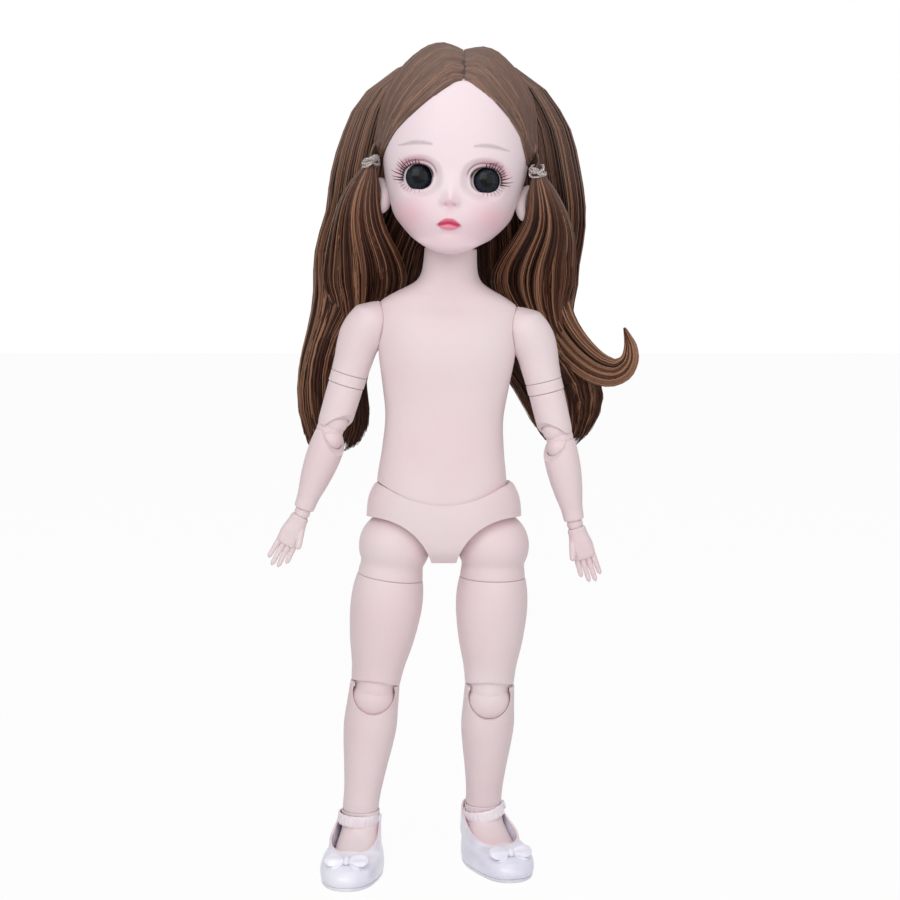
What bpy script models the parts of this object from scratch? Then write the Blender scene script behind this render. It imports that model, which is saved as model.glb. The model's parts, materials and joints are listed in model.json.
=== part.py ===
# A one-sixth ball jointed doll, about 300 mm tall, standing in strap shoes.
# The doll faces -Y, stands on z = 0, and its own left side is at +X.
# Lengths are in metres. A table whose name ends in SHARES holds shares of the sizes named beside it.

import math

import bmesh
import bpy
from mathutils import Matrix, Vector

# Clearances
SEAM_GAP = 0.0003
BALL_GAP = 0.0005
HIP_GAP = 0.0006
OVERRUN = 0.006
HAIR_GAP = 0.0004

# Facets and how square the ovals are
HEAD_SIDES = 18
WIG_SIDES = 18
TRUNK_SIDES = 16
LIMB_SIDES = 12
HAIR_SIDES = 12
BALL_SIDES = 14
BALL_LEVELS = 8
TRUNK_SQUARENESS = 2.3
SHOE_SQUARENESS = 2.4
SLOT_SQUARENESS = 3.0
SLOT_REACH_SHARE = 1.2
SLOT_ARC_SHARE = 1.3

# Stance
PELVIS_SIDE_STEP = 0.0026
STAND_DEPTH_STEP = 0.0050
TRUNK_TILT_DEG = 2.2
HEAD_TILT_DEG = 3.1
HEAD_TURN_DEG = -2.5
ARM_LEAN_DEG = {"left": (13.7, 11.7, 16.9), "right": (16.8, 20.9, 27.0)}
THIGH_LEAN_DEG = {"left": -1.5, "right": 8.0}
SHIN_LEAN_DEG = {"left": -2.5, "right": 6.8}
TOE_OUT_DEG = {"left": 16.5, "right": 5.5}
ELBOW_TURN_DEG = 50.0

# Trunk: heights run up from the waist pivot, widths and depths are halves
WAIST_RISE = 0.0425
TRUNK_RISE = 0.0645
SHOULDER_HALF_WIDTH = 0.0251
CHEST_HALF_DEPTH = 0.0140
NECK_RADIUS = 0.0094
WAIST_DOME_RADIUS = 0.0304
SEAM_DEPTH = 0.0010
TRUNK_SHARES = (
    (-0.480, 0.932, 1.107, 1.036),
    (-0.300, 0.932, 1.107, 1.000),
    (-0.124, 0.876, 1.057, 0.914),
    (0.062, 0.845, 0.971, 0.857),
    (0.233, 0.900, 0.971, 0.886),
    (0.388, 0.964, 1.014, 0.943),
    (0.527, 1.000, 0.986, 0.964),
    (0.620, 1.000, 0.886, 0.900),
    (0.690, 0.980, 0.729, 0.786),
    (0.740, 0.809, 0.686, 0.714),
    (0.770, 0.660, 0.657, 0.700),
)
NECK_SHARES = (
    (0.797, 1.436),
    (0.828, 1.190),
    (0.880, 1.050),
    (1.000, 0.990),
)
TRUNK_HOLLOW_SHARES = (
    (0.200, 0.45, 0.40),
    (0.260, 0.74, 0.74),
    (0.400, 0.74, 0.78),
    (0.520, 0.62, 0.76),
    (0.620, 0.44, 0.50),
)
WAIST_STUD_BALL_RADIUS = 0.0050
WAIST_STUD_STEM_RADIUS = 0.0026
WAIST_STUD_REACH = 0.0370
WAIST_BEND_DEG = 10.0
WAIST_SLOT_WIDTH_SHARE = 1.4
WAIST_SLOT_DEPTH_SHARE = 1.25

# Pelvis: heights run up from the hip centres
PELVIS_HALF_WIDTH = 0.0280
PELVIS_HALF_DEPTH = 0.0165
PELVIS_TOP = 0.0236
PELVIS_BOTTOM = 0.0050
LEG_OPENING_RADIUS = 0.0204
LEG_OPENING_OUT = 0.0245
LEG_OPENING_DROP = 0.0090
PELVIS_SHARES = (
    (-1.00, 0.84, 0.60, 0.68),
    (-0.02, 0.97, 0.84, 0.93),
    (0.24, 1.00, 0.95, 1.03),
    (0.48, 1.00, 0.99, 1.05),
    (0.74, 0.975, 0.99, 1.01),
    (0.92, 0.915, 0.97, 0.94),
    (1.00, 0.860, 0.94, 0.89),
)

# Head: heights run up from the neck ball's centre
HEAD_RISE = 0.0695
HEAD_HALF_WIDTH = 0.02575
HEAD_HALF_DEPTH = 0.0270
NECK_BALL_RADIUS = 0.0074
NECK_BALL_RISE = 0.0015
FACE_SPLIT_DEPTH = 0.0085
HEAD_SHARES = (
    (-0.043, 0.14, 0.740, -0.560),
    (-0.027, 0.27, 0.805, -0.450),
    (0.002, 0.41, 0.835, -0.385),
    (0.037, 0.565, 0.860, 0.440),
    (0.125, 0.785, 0.900, 0.820),
    (0.194, 0.860, 0.915, 0.930),
    (0.335, 0.967, 0.933, 1.040),
    (0.433, 1.000, 0.940, 1.075),
    (0.576, 0.987, 0.925, 1.075),
    (0.720, 0.905, 0.850, 1.020),
    (0.835, 0.757, 0.700, 0.890),
    (0.921, 0.544, 0.500, 0.667),
    (0.978, 0.300, 0.290, 0.400),
    (1.000, 0.110, 0.110, 0.170),
)
HEAD_CROWN_SHARE = 0.9
HEAD_HOLLOW_RISE_SHARE = 0.554
HEAD_HOLLOW_HEIGHT_SHARE = 0.381
HEAD_HOLLOW_WIDTH_SHARE = 0.835
HEAD_HOLLOW_DEPTH_SHARE = 0.796
EYE_RADIUS = 0.0072
EYE_OUT_SHARE = 0.455
EYE_RISE_SHARE = 0.314
EYE_FRONT_SHARE = 0.5185
EYE_OPENING_WIDTH_SHARE = 0.778
EYE_OPENING_HEIGHT_SHARE = 0.611
EAR_HALF_HEIGHT = 0.0062
EAR_OUT_SHARE = 0.967
EAR_RISE_SHARE = 0.245
EAR_WIDTH_SHARE = 0.4516
EAR_DEPTH_SHARE = 0.645

# Wig
WIG_THICKNESS = 0.0036
WIG_SKIRT_SHARE = 0.470
HAIRLINE_RISE_SHARE = 0.863
HAIRLINE_WIDTH_SHARE = 1.0485
HAIRLINE_DEPTH_SHARE = 0.148
HAIRLINE_SHARES = (
    (1.00, -0.20), (1.00, 0.52), (0.90, 0.62), (0.73, 0.74), (0.50, 0.87), (0.22, 0.975), (0.00, 1.00),
)
ELASTIC_OUT_SHARE = 1.122
ELASTIC_FRONT_SHARE = 0.296
ELASTIC_RISE_SHARE = 0.410
ELASTIC_RADIUS = 0.0031
ELASTIC_CORD_RADIUS = 0.0012
BUNCH_NECK_RADIUS = 0.0015
BUNCH_NECK_LENGTH = 0.0116

# Long hair: the box that the falls fill, in which their tables give shares
HAIR_HALF_SPREAD = 0.0500
HAIR_TOP_SHARE = 0.928
HAIR_LENGTH = 0.1400
HAIR_BACK_DEPTH = 0.0430
BACK_FALL_SHARES = (
    (0.000, -0.22, 0.30, 0.26, 0.70),
    (0.055, -0.66, 0.70, 0.08, 0.86),
    (0.120, -0.78, 0.86, 0.05, 0.94),
    (0.190, -0.84, 0.94, 0.05, 0.96),
    (0.270, -0.89, 0.96, 0.08, 0.94),
    (0.370, -0.92, 0.95, 0.20, 0.88),
    (0.445, -0.95, 0.97, 0.34, 0.84),
    (0.475, -0.96, 0.98, 0.36, 0.80),
)
SIDE_FALL_SHARES = {
    "right": (
        (0.480, -0.99, -0.40, 0.34, 0.72),
        (0.580, -1.07, -0.58, 0.34, 0.70),
        (0.680, -1.11, -0.57, 0.34, 0.68),
        (0.780, -1.11, -0.57, 0.34, 0.64),
        (0.860, -1.07, -0.60, 0.34, 0.60),
        (0.940, -0.98, -0.72, 0.36, 0.54),
    ),
    "left": (
        (0.480, 0.16, 1.01, 0.34, 0.72),
        (0.580, 0.18, 1.06, 0.34, 0.70),
        (0.670, 0.24, 1.10, 0.34, 0.68),
        (0.760, 0.30, 1.12, 0.34, 0.64),
        (0.830, 0.52, 1.09, 0.34, 0.60),
        (0.920, 0.74, 1.00, 0.36, 0.54),
    ),
}
BUNCH_LENGTH = 0.0262
BUNCH_SHARES = (
    (0.00, 0.897, 1.096, -0.225, -0.115),
    (0.14, 0.930, 1.220, -0.225, 0.00),
    (0.36, 0.940, 1.360, -0.22, 0.11),
    (0.72, 0.865, 1.460, -0.16, 0.20),
    (1.00, 0.830, 1.530, -0.10, 0.24),
)
CURL_THICKNESS = 0.0050
CURL_SHARES = (
    (0.76, 0.600, 0.50, 0.70),
    (0.92, 0.682, 0.44, 1.00),
    (1.02, 0.739, 0.36, 1.00),
    (1.14, 0.786, 0.30, 0.92),
    (1.26, 0.791, 0.26, 0.78),
    (1.34, 0.752, 0.25, 0.60),
    (1.32, 0.708, 0.25, 0.40),
    (1.27, 0.682, 0.25, 0.16),
)

# Arms: drops run down from the shoulder centre
SHOULDER_OUT_SHARE = 1.1912
SHOULDER_RISE_SHARE = 0.5705
SHOULDER_BALL_RADIUS = 0.0096
SHOULDER_STUD_BALL_RADIUS = 0.0042
SHOULDER_STUD_STEM_RADIUS = 0.0021
SHOULDER_STUD_REACH = 0.0150
ARM_RAISE_DEG = (-12.0, 60.0)
ARM_RADIUS = 0.0064
ARM_RING_DROP = 0.0190
ARM_RING_HEIGHT = 0.0036
ARM_RING_SHARE = 1.03
ARM_CAP_SHARES = ((0.25, 1.06), (0.55, 1.04), (1.00, 1.02))
ELBOW_UPPER_DROP = 0.0370
ELBOW_SPAN = 0.0066
ELBOW_BALL_RADIUS = 0.0047
ELBOW_RIM = 0.0022
UPPER_ARM_SHARES = ((0.00, 0.99), (0.30, 0.98), (0.60, 0.96), (0.85, 0.94), (1.00, 0.89))
FOREARM_LENGTH = 0.0285
FOREARM_SHARES = ((0.00, 0.93), (0.16, 0.98), (0.38, 0.96), (0.62, 0.82), (0.84, 0.63), (1.00, 0.57))
WRIST_BALL_RADIUS = 0.0029
WRIST_RIM = 0.0014
HAND_LENGTH = 0.0226
PALM_HALF_WIDTH = 0.0041
PALM_HALF_THICKNESS = 0.0029
PALM_SHARES = (
    (0.00, 0.80, 1.12), (0.12, 0.84, 1.08), (0.30, 1.02, 1.00), (0.50, 1.04, 0.90), (0.56, 0.98, 0.80),
)
PALM_END_SHARE = 0.52
FINGER_RADIUS = 0.00105
FINGER_TIP_SHARE = 0.72
FINGER_SHARES = ((-0.68, 0.86, -3.0), (-0.22, 0.97, -0.5), (0.24, 0.99, 1.5), (0.70, 0.90, 4.0))
THUMB_SHARES = ((0.60, 0.22), (1.20, 0.52))
THUMB_RADIUS = 0.00125
THUMB_TIP_SHARE = 0.75

# Legs: drops run down from the hip centre
HIP_OUT = 0.0179
HIP_BALL_RADIUS = 0.0129
HIP_STUD_BALL_RADIUS = 0.0055
HIP_STUD_STEM_RADIUS = 0.0024
HIP_STUD_REACH = 0.0162
LEG_SPREAD_DEG = (-6.0, 28.0)
HIP_BALL_SKIRT = 0.0114
HIP_SKIRT_RADIUS = 0.0119
THIGH_RADIUS = 0.0129
KNEE_UPPER_DROP = 0.0490
KNEE_SPAN = 0.0078
KNEE_SEAM_DROP = 0.0506
THIGH_SHARES = (
    (0.00, 0.930, 0.93, 0.93),
    (0.14, 0.995, 0.99, 1.00),
    (0.33, 1.000, 1.00, 1.02),
    (0.60, 0.900, 0.90, 0.94),
    (0.85, 0.745, 0.74, 0.80),
    (1.00, 0.690, 0.70, 0.72),
)
KNEE_TOP_BALL_RADIUS = 0.0070
KNEE_CAP_BALL_RADIUS = 0.0081
KNEE_CAP_FORWARD = 0.0008
KNEE_RELIEF_DEG = 46.0
KNEE_NOTCH_RADIUS = 0.0076
KNEE_NOTCH_RISE = 0.0030
SHIN_LENGTH = 0.0406
SHIN_RADIUS = 0.0097
SHIN_SHARES = (
    (-0.140, 0.930, 0.93, 0.93),
    (0.070, 0.970, 0.96, 1.03),
    (0.250, 1.000, 0.97, 1.12),
    (0.440, 0.930, 0.90, 1.10),
    (0.650, 0.760, 0.78, 0.88),
    (0.850, 0.630, 0.66, 0.68),
    (0.955, 0.600, 0.62, 0.62),
)
ANKLE_HEIGHT = 0.0222
ANKLE_BALL_RADIUS = 0.0047
ANKLE_RIM = 0.0018

# Foot and shoe: lengths run forward from the ankle
FOOT_HALF_WIDTH = 0.0090
FOOT_FRONT = 0.0290
FOOT_HEEL = 0.0085
FOOT_SHARES = (
    (0.00, 0.92, 1.00, 1.00),
    (0.20, 0.96, 0.99, 1.03),
    (0.36, 0.88, 0.72, 1.00),
    (0.52, 0.74, 0.38, 0.86),
    (0.64, 0.65, 0.210, 0.70),
    (1.00, 0.61, 0.190, 0.66),
)
SOLE_THICKNESS = 0.0020
SOLE_HALF_WIDTH = 0.0110
SHOE_FRONT = 0.0330
SHOE_HEEL = 0.0110
SHOE_HEIGHT = 0.0148
SHOE_COLLAR_HEIGHT = 0.0092
SHOE_VAMP_FRONT = 0.0130
SHOE_COUNTER_BACK = 0.0050
SHOE_SHARES = (
    (0.00, 0.98, 1.000, 0.99),
    (0.22, 1.00, 0.995, 1.00),
    (0.46, 0.96, 0.900, 0.99),
    (0.66, 0.88, 0.720, 0.97),
    (0.82, 0.82, 0.480, 0.96),
    (1.00, 0.80, 0.300, 0.95),
)
STRAP_RADIUS = 0.0072
STRAP_THICKNESS = 0.0009
STRAP_HEIGHT = 0.0042
STRAP_RISE = 0.0151
BUTTON_RADIUS = 0.0016
BUTTON_THICKNESS = 0.0012
BOW_HALF_WIDTH = 0.0072
BOW_HALF_HEIGHT = 0.0027
BOW_THICKNESS = 0.0022
BOW_FRONT = 0.0192
BOW_RISE = 0.0133
BOW_LIE_DEG = -75.0
BOW_KNOT_SHARES = (0.6, 0.7)
BOW_PINCH_SHARE = 0.35
BOW_LOOP_SHARE = 0.8

SIDES = (("left", 1.0), ("right", -1.0))


def clear_scene():
    for item in list(bpy.data.objects):
        bpy.data.objects.remove(item, do_unlink=True)


def collection(name):
    group = bpy.data.collections.new(name)
    bpy.context.scene.collection.children.link(group)
    return group


def material(name, colour, roughness, metallic=0.0):
    made = bpy.data.materials.new(name)
    made.use_nodes = True
    shader = made.node_tree.nodes["Principled BSDF"]
    shader.inputs["Base Color"].default_value = (*colour, 1.0)
    shader.inputs["Roughness"].default_value = roughness
    shader.inputs["Metallic"].default_value = metallic
    return made


def turned_about(axis, degrees):
    return Matrix.Rotation(math.radians(degrees), 4, axis)


def moved(x, y, z):
    return Matrix.Translation((x, y, z))


def at(point, *turns):
    matrix = Matrix.Translation(point)
    for turn in turns:
        matrix = matrix @ turn
    return matrix


def frame(name, matrix):
    """An empty on a joint, which carries the pieces that turn there."""
    empty = bpy.data.objects.new(name, None)
    empty.matrix_world = matrix
    PARTS.objects.link(empty)
    return empty


def placed(name, mesh, parent, matrix, look=None):
    item = bpy.data.objects.new(name, mesh)
    item.parent = parent
    item.matrix_local = matrix
    if look is None:
        item.hide_render = True
        item.display_type = "WIRE"
        CUTTERS.objects.link(item)
    else:
        PARTS.objects.link(item)
        mesh.materials.append(look)
        mesh.shade_smooth()
        mesh.set_sharp_from_angle(angle=math.radians(40.0))
    return item


def combine(target, tool, operation="DIFFERENCE"):
    change = target.modifiers.new(operation.lower(), "BOOLEAN")
    change.operation = operation
    change.solver = "EXACT"
    change.object = tool


def finished(name, shape):
    mesh = bpy.data.meshes.new(name)
    shape.to_mesh(mesh)
    shape.free()
    return mesh


def ring_points(station, segments, squareness):
    """One level of a loft: height, half width, front depth, back depth and side step."""
    height, half_width, front, back, side = station
    middle = (back - front) / 2
    half_depth = (back + front) / 2
    power = 2.0 / squareness
    for step in range(segments):
        turn = 2 * math.pi * step / segments
        across = math.copysign(abs(math.cos(turn)) ** power, math.cos(turn))
        along = math.copysign(abs(math.sin(turn)) ** power, math.sin(turn))
        yield Vector((side + half_width * across, middle + half_depth * along, height))


def loft_mesh(name, stations, segments=LIMB_SIDES, squareness=2.0):
    """A closed skin over level ovals of unlike width and depth."""
    shape = bmesh.new()
    rings = []
    for station in stations:
        rings.append([shape.verts.new(point) for point in ring_points(station, segments, squareness)])
    for lower, upper in zip(rings, rings[1:]):
        for step in range(segments):
            after = (step + 1) % segments
            shape.faces.new((lower[step], lower[after], upper[after], upper[step]))
    shape.faces.new(rings[0])
    shape.faces.new(rings[-1])
    bmesh.ops.recalc_face_normals(shape, faces=shape.faces)
    return finished(name, shape)


def ball_mesh(name, radius, segments=BALL_SIDES, levels=BALL_LEVELS, scale=(1.0, 1.0, 1.0)):
    shape = bmesh.new()
    bmesh.ops.create_uvsphere(shape, u_segments=segments, v_segments=levels, radius=radius)
    bmesh.ops.scale(shape, vec=scale, verts=shape.verts)
    return finished(name, shape)


def rod_mesh(name, radius, length, segments=12, end_radius=None):
    """A rod along Z, centred, with its first radius at the bottom."""
    shape = bmesh.new()
    last = radius if end_radius is None else end_radius
    bmesh.ops.create_cone(
        shape, cap_ends=True, segments=segments, radius1=radius, radius2=last, depth=length
    )
    return finished(name, shape)


def box_mesh(name, low, high):
    """A box between two corners."""
    shape = bmesh.new()
    bmesh.ops.create_cube(shape, size=1.0)
    size = [top - bottom for bottom, top in zip(low, high)]
    middle = [(top + bottom) / 2 for bottom, top in zip(low, high)]
    bmesh.ops.scale(shape, vec=size, verts=shape.verts)
    bmesh.ops.translate(shape, vec=middle, verts=shape.verts)
    return finished(name, shape)


def prism_mesh(name, outline, half_depth):
    """A flat outline in X and Z, as thick as twice the half depth along Y."""
    shape = bmesh.new()
    face = shape.faces.new([shape.verts.new((x, -half_depth, z)) for x, z in outline])
    grown = bmesh.ops.extrude_face_region(shape, geom=[face])
    corners = [item for item in grown["geom"] if isinstance(item, bmesh.types.BMVert)]
    bmesh.ops.translate(shape, vec=(0, 2 * half_depth, 0), verts=corners)
    bmesh.ops.recalc_face_normals(shape, faces=shape.faces)
    return finished(name, shape)


def profile_mesh(name, profile):
    """A line of points, radius and height, for a Screw modifier to turn."""
    shape = bmesh.new()
    corners = [shape.verts.new((radius, 0, height)) for radius, height in profile]
    for first, second in zip(corners, corners[1:]):
        shape.edges.new((first, second))
    if profile[0][0] > 0:
        shape.edges.new((corners[-1], corners[0]))
    return finished(name, shape)


def spin(item, steps=16):
    screw = item.modifiers.new("turned", "SCREW")
    screw.steps = steps
    screw.render_steps = steps
    screw.use_merge_vertices = True
    screw.merge_threshold = 0.00001
    screw.use_smooth_shade = True
    return item


def arc(radius, start_deg, end_deg, steps, height=0.0):
    """Points of a round profile, from one angle above the level to another."""
    for step in range(steps + 1):
        turn = math.radians(start_deg + (end_deg - start_deg) * step / steps)
        yield (radius * math.cos(turn), height + radius * math.sin(turn))


def stud(name, ball_radius, stem_radius, reach, parent, matrix, look):
    """A ball on a stem that points down its own Z, made as one turning."""
    leave = math.degrees(math.asin(stem_radius / ball_radius))
    profile = [(0.0, ball_radius)]
    profile += list(arc(ball_radius, 90.0, leave - 90.0, 6))[1:]
    profile += [(stem_radius, -reach), (0.0, -reach)]
    return spin(placed(name, profile_mesh(name, profile), parent, matrix, look), 12)


def slot_mesh(name, reach, stem_radius, low_deg, high_deg):
    """The fan that a stem sweeps as its ball turns, measured up from -X."""
    low = math.radians(low_deg)
    high = math.radians(high_deg)
    half = stem_radius + BALL_GAP
    outline = [
        (half - half * math.sin(low), -half * math.cos(low)),
        (-reach * math.cos(low) - half * math.sin(low), reach * math.sin(low) - half * math.cos(low)),
    ]
    far = SLOT_ARC_SHARE * reach
    for step in range(1, 6):
        turn = low + (high - low) * step / 6
        outline.append((-far * math.cos(turn), far * math.sin(turn)))
    outline += [
        (half * math.sin(high) - reach * math.cos(high), half * math.cos(high) + reach * math.sin(high)),
        (half * math.sin(high), half * math.cos(high)),
    ]
    return prism_mesh(name, outline, half)


def build_looks():
    return {
        "skin": material("skin plastic", (0.86, 0.70, 0.66), 0.42),
        "face": material("face plastic", (0.90, 0.76, 0.74), 0.40),
        "eye": material("eye glass", (0.02, 0.02, 0.05), 0.05),
        "hair": material("wig fibre", (0.14, 0.07, 0.04), 0.45),
        "elastic": material("clear elastic", (0.80, 0.78, 0.76), 0.15),
        "shoe": material("white shoe leather", (0.86, 0.86, 0.90), 0.25),
        "stud": material("inner plastic", (0.80, 0.66, 0.62), 0.50),
    }


def trunk_stations(grow=0.0):
    stations = []
    for rise, wide, front, back in TRUNK_SHARES:
        stations.append((
            TRUNK_RISE * rise, SHOULDER_HALF_WIDTH * wide + grow,
            CHEST_HALF_DEPTH * front + grow, CHEST_HALF_DEPTH * back + grow, 0.0,
        ))
    for rise, wide in NECK_SHARES:
        radius = NECK_RADIUS * wide + grow
        stations.append((TRUNK_RISE * rise, radius, NECK_RADIUS + grow, NECK_RADIUS + grow, 0.0))
    return stations


def waist_tube(name, radius, parent):
    """A round-bottomed tube: the waist dome below its centre, straight walls above."""
    top = TRUNK_RISE + OVERRUN
    profile = [(0.0, top), (radius, top)] + list(arc(radius, 0.0, -90.0, 8))[:-1] + [(0.0, -radius)]
    return spin(placed(name, profile_mesh(name, profile), parent, Matrix(), None), 24)


def shoulder_point(sign):
    """A shoulder's centre in the trunk."""
    return Vector((sign * SHOULDER_HALF_WIDTH * SHOULDER_OUT_SHARE, 0, TRUNK_RISE * SHOULDER_RISE_SHARE))


def build_trunk(trunk, looks):
    dome = waist_tube("waist dome", WAIST_DOME_RADIUS, trunk)
    hollow_stations = [
        (TRUNK_RISE * rise, SHOULDER_HALF_WIDTH * wide, CHEST_HALF_DEPTH * deep, CHEST_HALF_DEPTH * deep, 0.0)
        for rise, wide, deep in TRUNK_HOLLOW_SHARES
    ]
    hollow = placed("trunk hollow", loft_mesh("trunk hollow", hollow_stations, 10), trunk, Matrix())
    socket_shape = ball_mesh("waist stud socket", WAIST_STUD_BALL_RADIUS + BALL_GAP, 12)
    socket = placed("waist stud socket", socket_shape, trunk, Matrix())
    side = WAIST_STUD_STEM_RADIUS + BALL_GAP
    swing = WAIST_DOME_RADIUS * math.tan(math.radians(WAIST_BEND_DEG))
    lean = WAIST_DOME_RADIUS * math.tan(math.radians(TRUNK_TILT_DEG))
    wide = side + WAIST_SLOT_WIDTH_SHARE * lean
    deep = side + WAIST_SLOT_DEPTH_SHARE * swing
    slot_stations = (
        (-WAIST_DOME_RADIUS - OVERRUN, wide, deep, deep, 0.0),
        (0.0, side, side, side, 0.0),
    )
    slot_shape = loft_mesh("waist stud slot", slot_stations, 8, SLOT_SQUARENESS)
    slot = placed("waist stud slot", slot_shape, trunk, Matrix())
    neck_socket = placed(
        "neck socket", ball_mesh("neck socket", NECK_BALL_RADIUS + BALL_GAP),
        trunk, moved(0, 0, TRUNK_RISE + NECK_BALL_RISE),
    )
    tools = [hollow, socket, slot, neck_socket]
    for side_name, sign in SIDES:
        centre = Matrix.Translation(shoulder_point(sign))
        dish_name = "armhole " + side_name
        tools.append(placed(
            dish_name, ball_mesh(dish_name, SHOULDER_BALL_RADIUS + BALL_GAP), trunk, centre
        ))
        bore_name = "shoulder bore " + side_name
        length = SHOULDER_STUD_REACH + OVERRUN
        bore = rod_mesh(bore_name, SHOULDER_STUD_STEM_RADIUS + SEAM_GAP, length)
        inward = moved(-sign * length / 2, 0, 0) @ turned_about("Y", 90.0)
        tools.append(placed(bore_name, bore, trunk, centre @ inward))
    reach = SHOULDER_HALF_WIDTH + WAIST_DOME_RADIUS
    for name, front in (("chest_front", True), ("chest_back", False)):
        shape = loft_mesh(name, trunk_stations(), TRUNK_SIDES, TRUNK_SQUARENESS)
        shell = placed(name, shape, trunk, Matrix(), looks["skin"])
        combine(shell, dome, "INTERSECT")
        near = SEAM_DEPTH - SEAM_GAP / 2 if front else -reach
        far = reach if front else SEAM_DEPTH + SEAM_GAP / 2
        half_name = "keep off " + name
        half = box_mesh(half_name, (-reach, near, -reach), (reach, far, TRUNK_RISE + OVERRUN))
        combine(shell, placed(half_name, half, trunk, Matrix()))
        for tool in tools:
            combine(shell, tool)


def build_pelvis(pelvis, waist, looks):
    stations = []
    for rise, wide, front, back in PELVIS_SHARES:
        height = PELVIS_BOTTOM * rise if rise == PELVIS_SHARES[0][0] else PELVIS_TOP * rise
        stations.append((
            height, PELVIS_HALF_WIDTH * wide, PELVIS_HALF_DEPTH * front, PELVIS_HALF_DEPTH * back, 0.0,
        ))
    shape = loft_mesh("pelvis", stations, 20, TRUNK_SQUARENESS)
    body = placed("pelvis", shape, pelvis, Matrix(), looks["skin"])
    combine(body, waist_tube("pelvis top dish", WAIST_DOME_RADIUS + BALL_GAP, waist))
    stem = WAIST_STUD_STEM_RADIUS + SEAM_GAP
    waist_bore = rod_mesh("waist bore", stem, 2 * (WAIST_STUD_REACH + SEAM_GAP))
    combine(body, placed("waist bore", waist_bore, waist, Matrix()))
    for side_name, sign in SIDES:
        opening_name = "leg opening " + side_name
        opening = rod_mesh(opening_name, LEG_OPENING_RADIUS, 4 * PELVIS_HALF_DEPTH, 24)
        place = moved(sign * LEG_OPENING_OUT, 0, -LEG_OPENING_DROP) @ turned_about("X", 90.0)
        combine(body, placed(opening_name, opening, pelvis, place))
        dish_name = "hip dish " + side_name
        dish = ball_mesh(dish_name, HIP_BALL_RADIUS + HIP_GAP, 16)
        combine(body, placed(dish_name, dish, pelvis, moved(sign * HIP_OUT, 0, 0)))
        bore_name = "hip bore " + side_name
        length = HIP_STUD_REACH + SEAM_GAP
        bore = rod_mesh(bore_name, HIP_STUD_STEM_RADIUS + SEAM_GAP, length)
        inward = moved(sign * (HIP_OUT - length / 2), 0, 0) @ turned_about("Y", 90.0)
        combine(body, placed(bore_name, bore, pelvis, inward))


def build_waist_stud(waist, looks):
    stud(
        "waist_stud", WAIST_STUD_BALL_RADIUS, WAIST_STUD_STEM_RADIUS, WAIST_STUD_REACH,
        waist, Matrix(), looks["stud"],
    )


def head_stations(grow=0.0, lowest_share=-1.0):
    stations = []
    for rise, wide, front, back in HEAD_SHARES:
        if rise < lowest_share:
            continue
        lift = grow if rise > HEAD_CROWN_SHARE else 0.0
        stations.append((
            HEAD_RISE * rise + lift, HEAD_HALF_WIDTH * wide + grow,
            HEAD_HALF_DEPTH * front + grow, HEAD_HALF_DEPTH * back + grow, 0.0,
        ))
    return stations


def ear_solid(name, sign, head, grow=0.0):
    tall = EAR_HALF_HEIGHT + grow
    wide = (EAR_HALF_HEIGHT * EAR_WIDTH_SHARE + grow) / tall
    deep = (EAR_HALF_HEIGHT * EAR_DEPTH_SHARE + grow) / tall
    ear = ball_mesh(name, tall, 8, 6, (wide, deep, 1.0))
    back = EAR_HALF_HEIGHT * EAR_DEPTH_SHARE / 2
    place = moved(sign * HEAD_HALF_WIDTH * EAR_OUT_SHARE, back, HEAD_RISE * EAR_RISE_SHARE)
    return placed(name, ear, head, place)


def build_head(head, looks):
    tall = HEAD_RISE * HEAD_HOLLOW_HEIGHT_SHARE
    wide = HEAD_HALF_WIDTH * HEAD_HOLLOW_WIDTH_SHARE / tall
    deep = HEAD_HALF_DEPTH * HEAD_HOLLOW_DEPTH_SHARE / tall
    hollow_shape = ball_mesh("head hollow", tall, 12, 8, (wide, deep, 1.0))
    hollow = placed("head hollow", hollow_shape, head, moved(0, 0, HEAD_RISE * HEAD_HOLLOW_RISE_SHARE))
    dish = placed("neck dish", ball_mesh("neck dish", NECK_BALL_RADIUS + BALL_GAP), head, Matrix())
    reach = 2 * HEAD_HALF_WIDTH
    for name, front in (("face_shell", True), ("head_cap", False)):
        shell = placed(name, loft_mesh(name, head_stations(), HEAD_SIDES), head, Matrix(), looks["face"])
        if front:
            for side_name, sign in SIDES:
                combine(shell, ear_solid("ear " + side_name, sign, head), "UNION")
        near = FACE_SPLIT_DEPTH - SEAM_GAP / 2 if front else -reach
        far = reach if front else FACE_SPLIT_DEPTH + SEAM_GAP / 2
        half_name = "keep off " + name
        half = box_mesh(half_name, (-reach, near, -reach), (reach, far, HEAD_RISE + OVERRUN))
        combine(shell, placed(half_name, half, head, Matrix()))
        combine(shell, hollow)
        combine(shell, dish)
        if not front:
            continue
        for side_name, sign in SIDES:
            out = sign * HEAD_HALF_WIDTH * EYE_OUT_SHARE
            centre = moved(out, -HEAD_HALF_DEPTH * EYE_FRONT_SHARE, HEAD_RISE * EYE_RISE_SHARE)
            well_name = "eye well " + side_name
            well = placed(well_name, ball_mesh(well_name, EYE_RADIUS + SEAM_GAP), head, centre)
            combine(shell, well)
            slit_name = "eye opening " + side_name
            slit = rod_mesh(slit_name, EYE_RADIUS * EYE_OPENING_WIDTH_SHARE, HEAD_HALF_DEPTH)
            squash = EYE_OPENING_HEIGHT_SHARE / EYE_OPENING_WIDTH_SHARE
            slit.transform(Matrix.Diagonal((1.0, squash, 1.0, 1.0)))
            tube = moved(0, -HEAD_HALF_DEPTH / 2, 0) @ turned_about("X", 90.0)
            combine(shell, placed(slit_name, slit, head, centre @ tube))
            eye = ball_mesh("eye_" + side_name, EYE_RADIUS)
            placed("eye_" + side_name, eye, head, centre @ turned_about("X", 90.0), looks["eye"])


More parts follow.
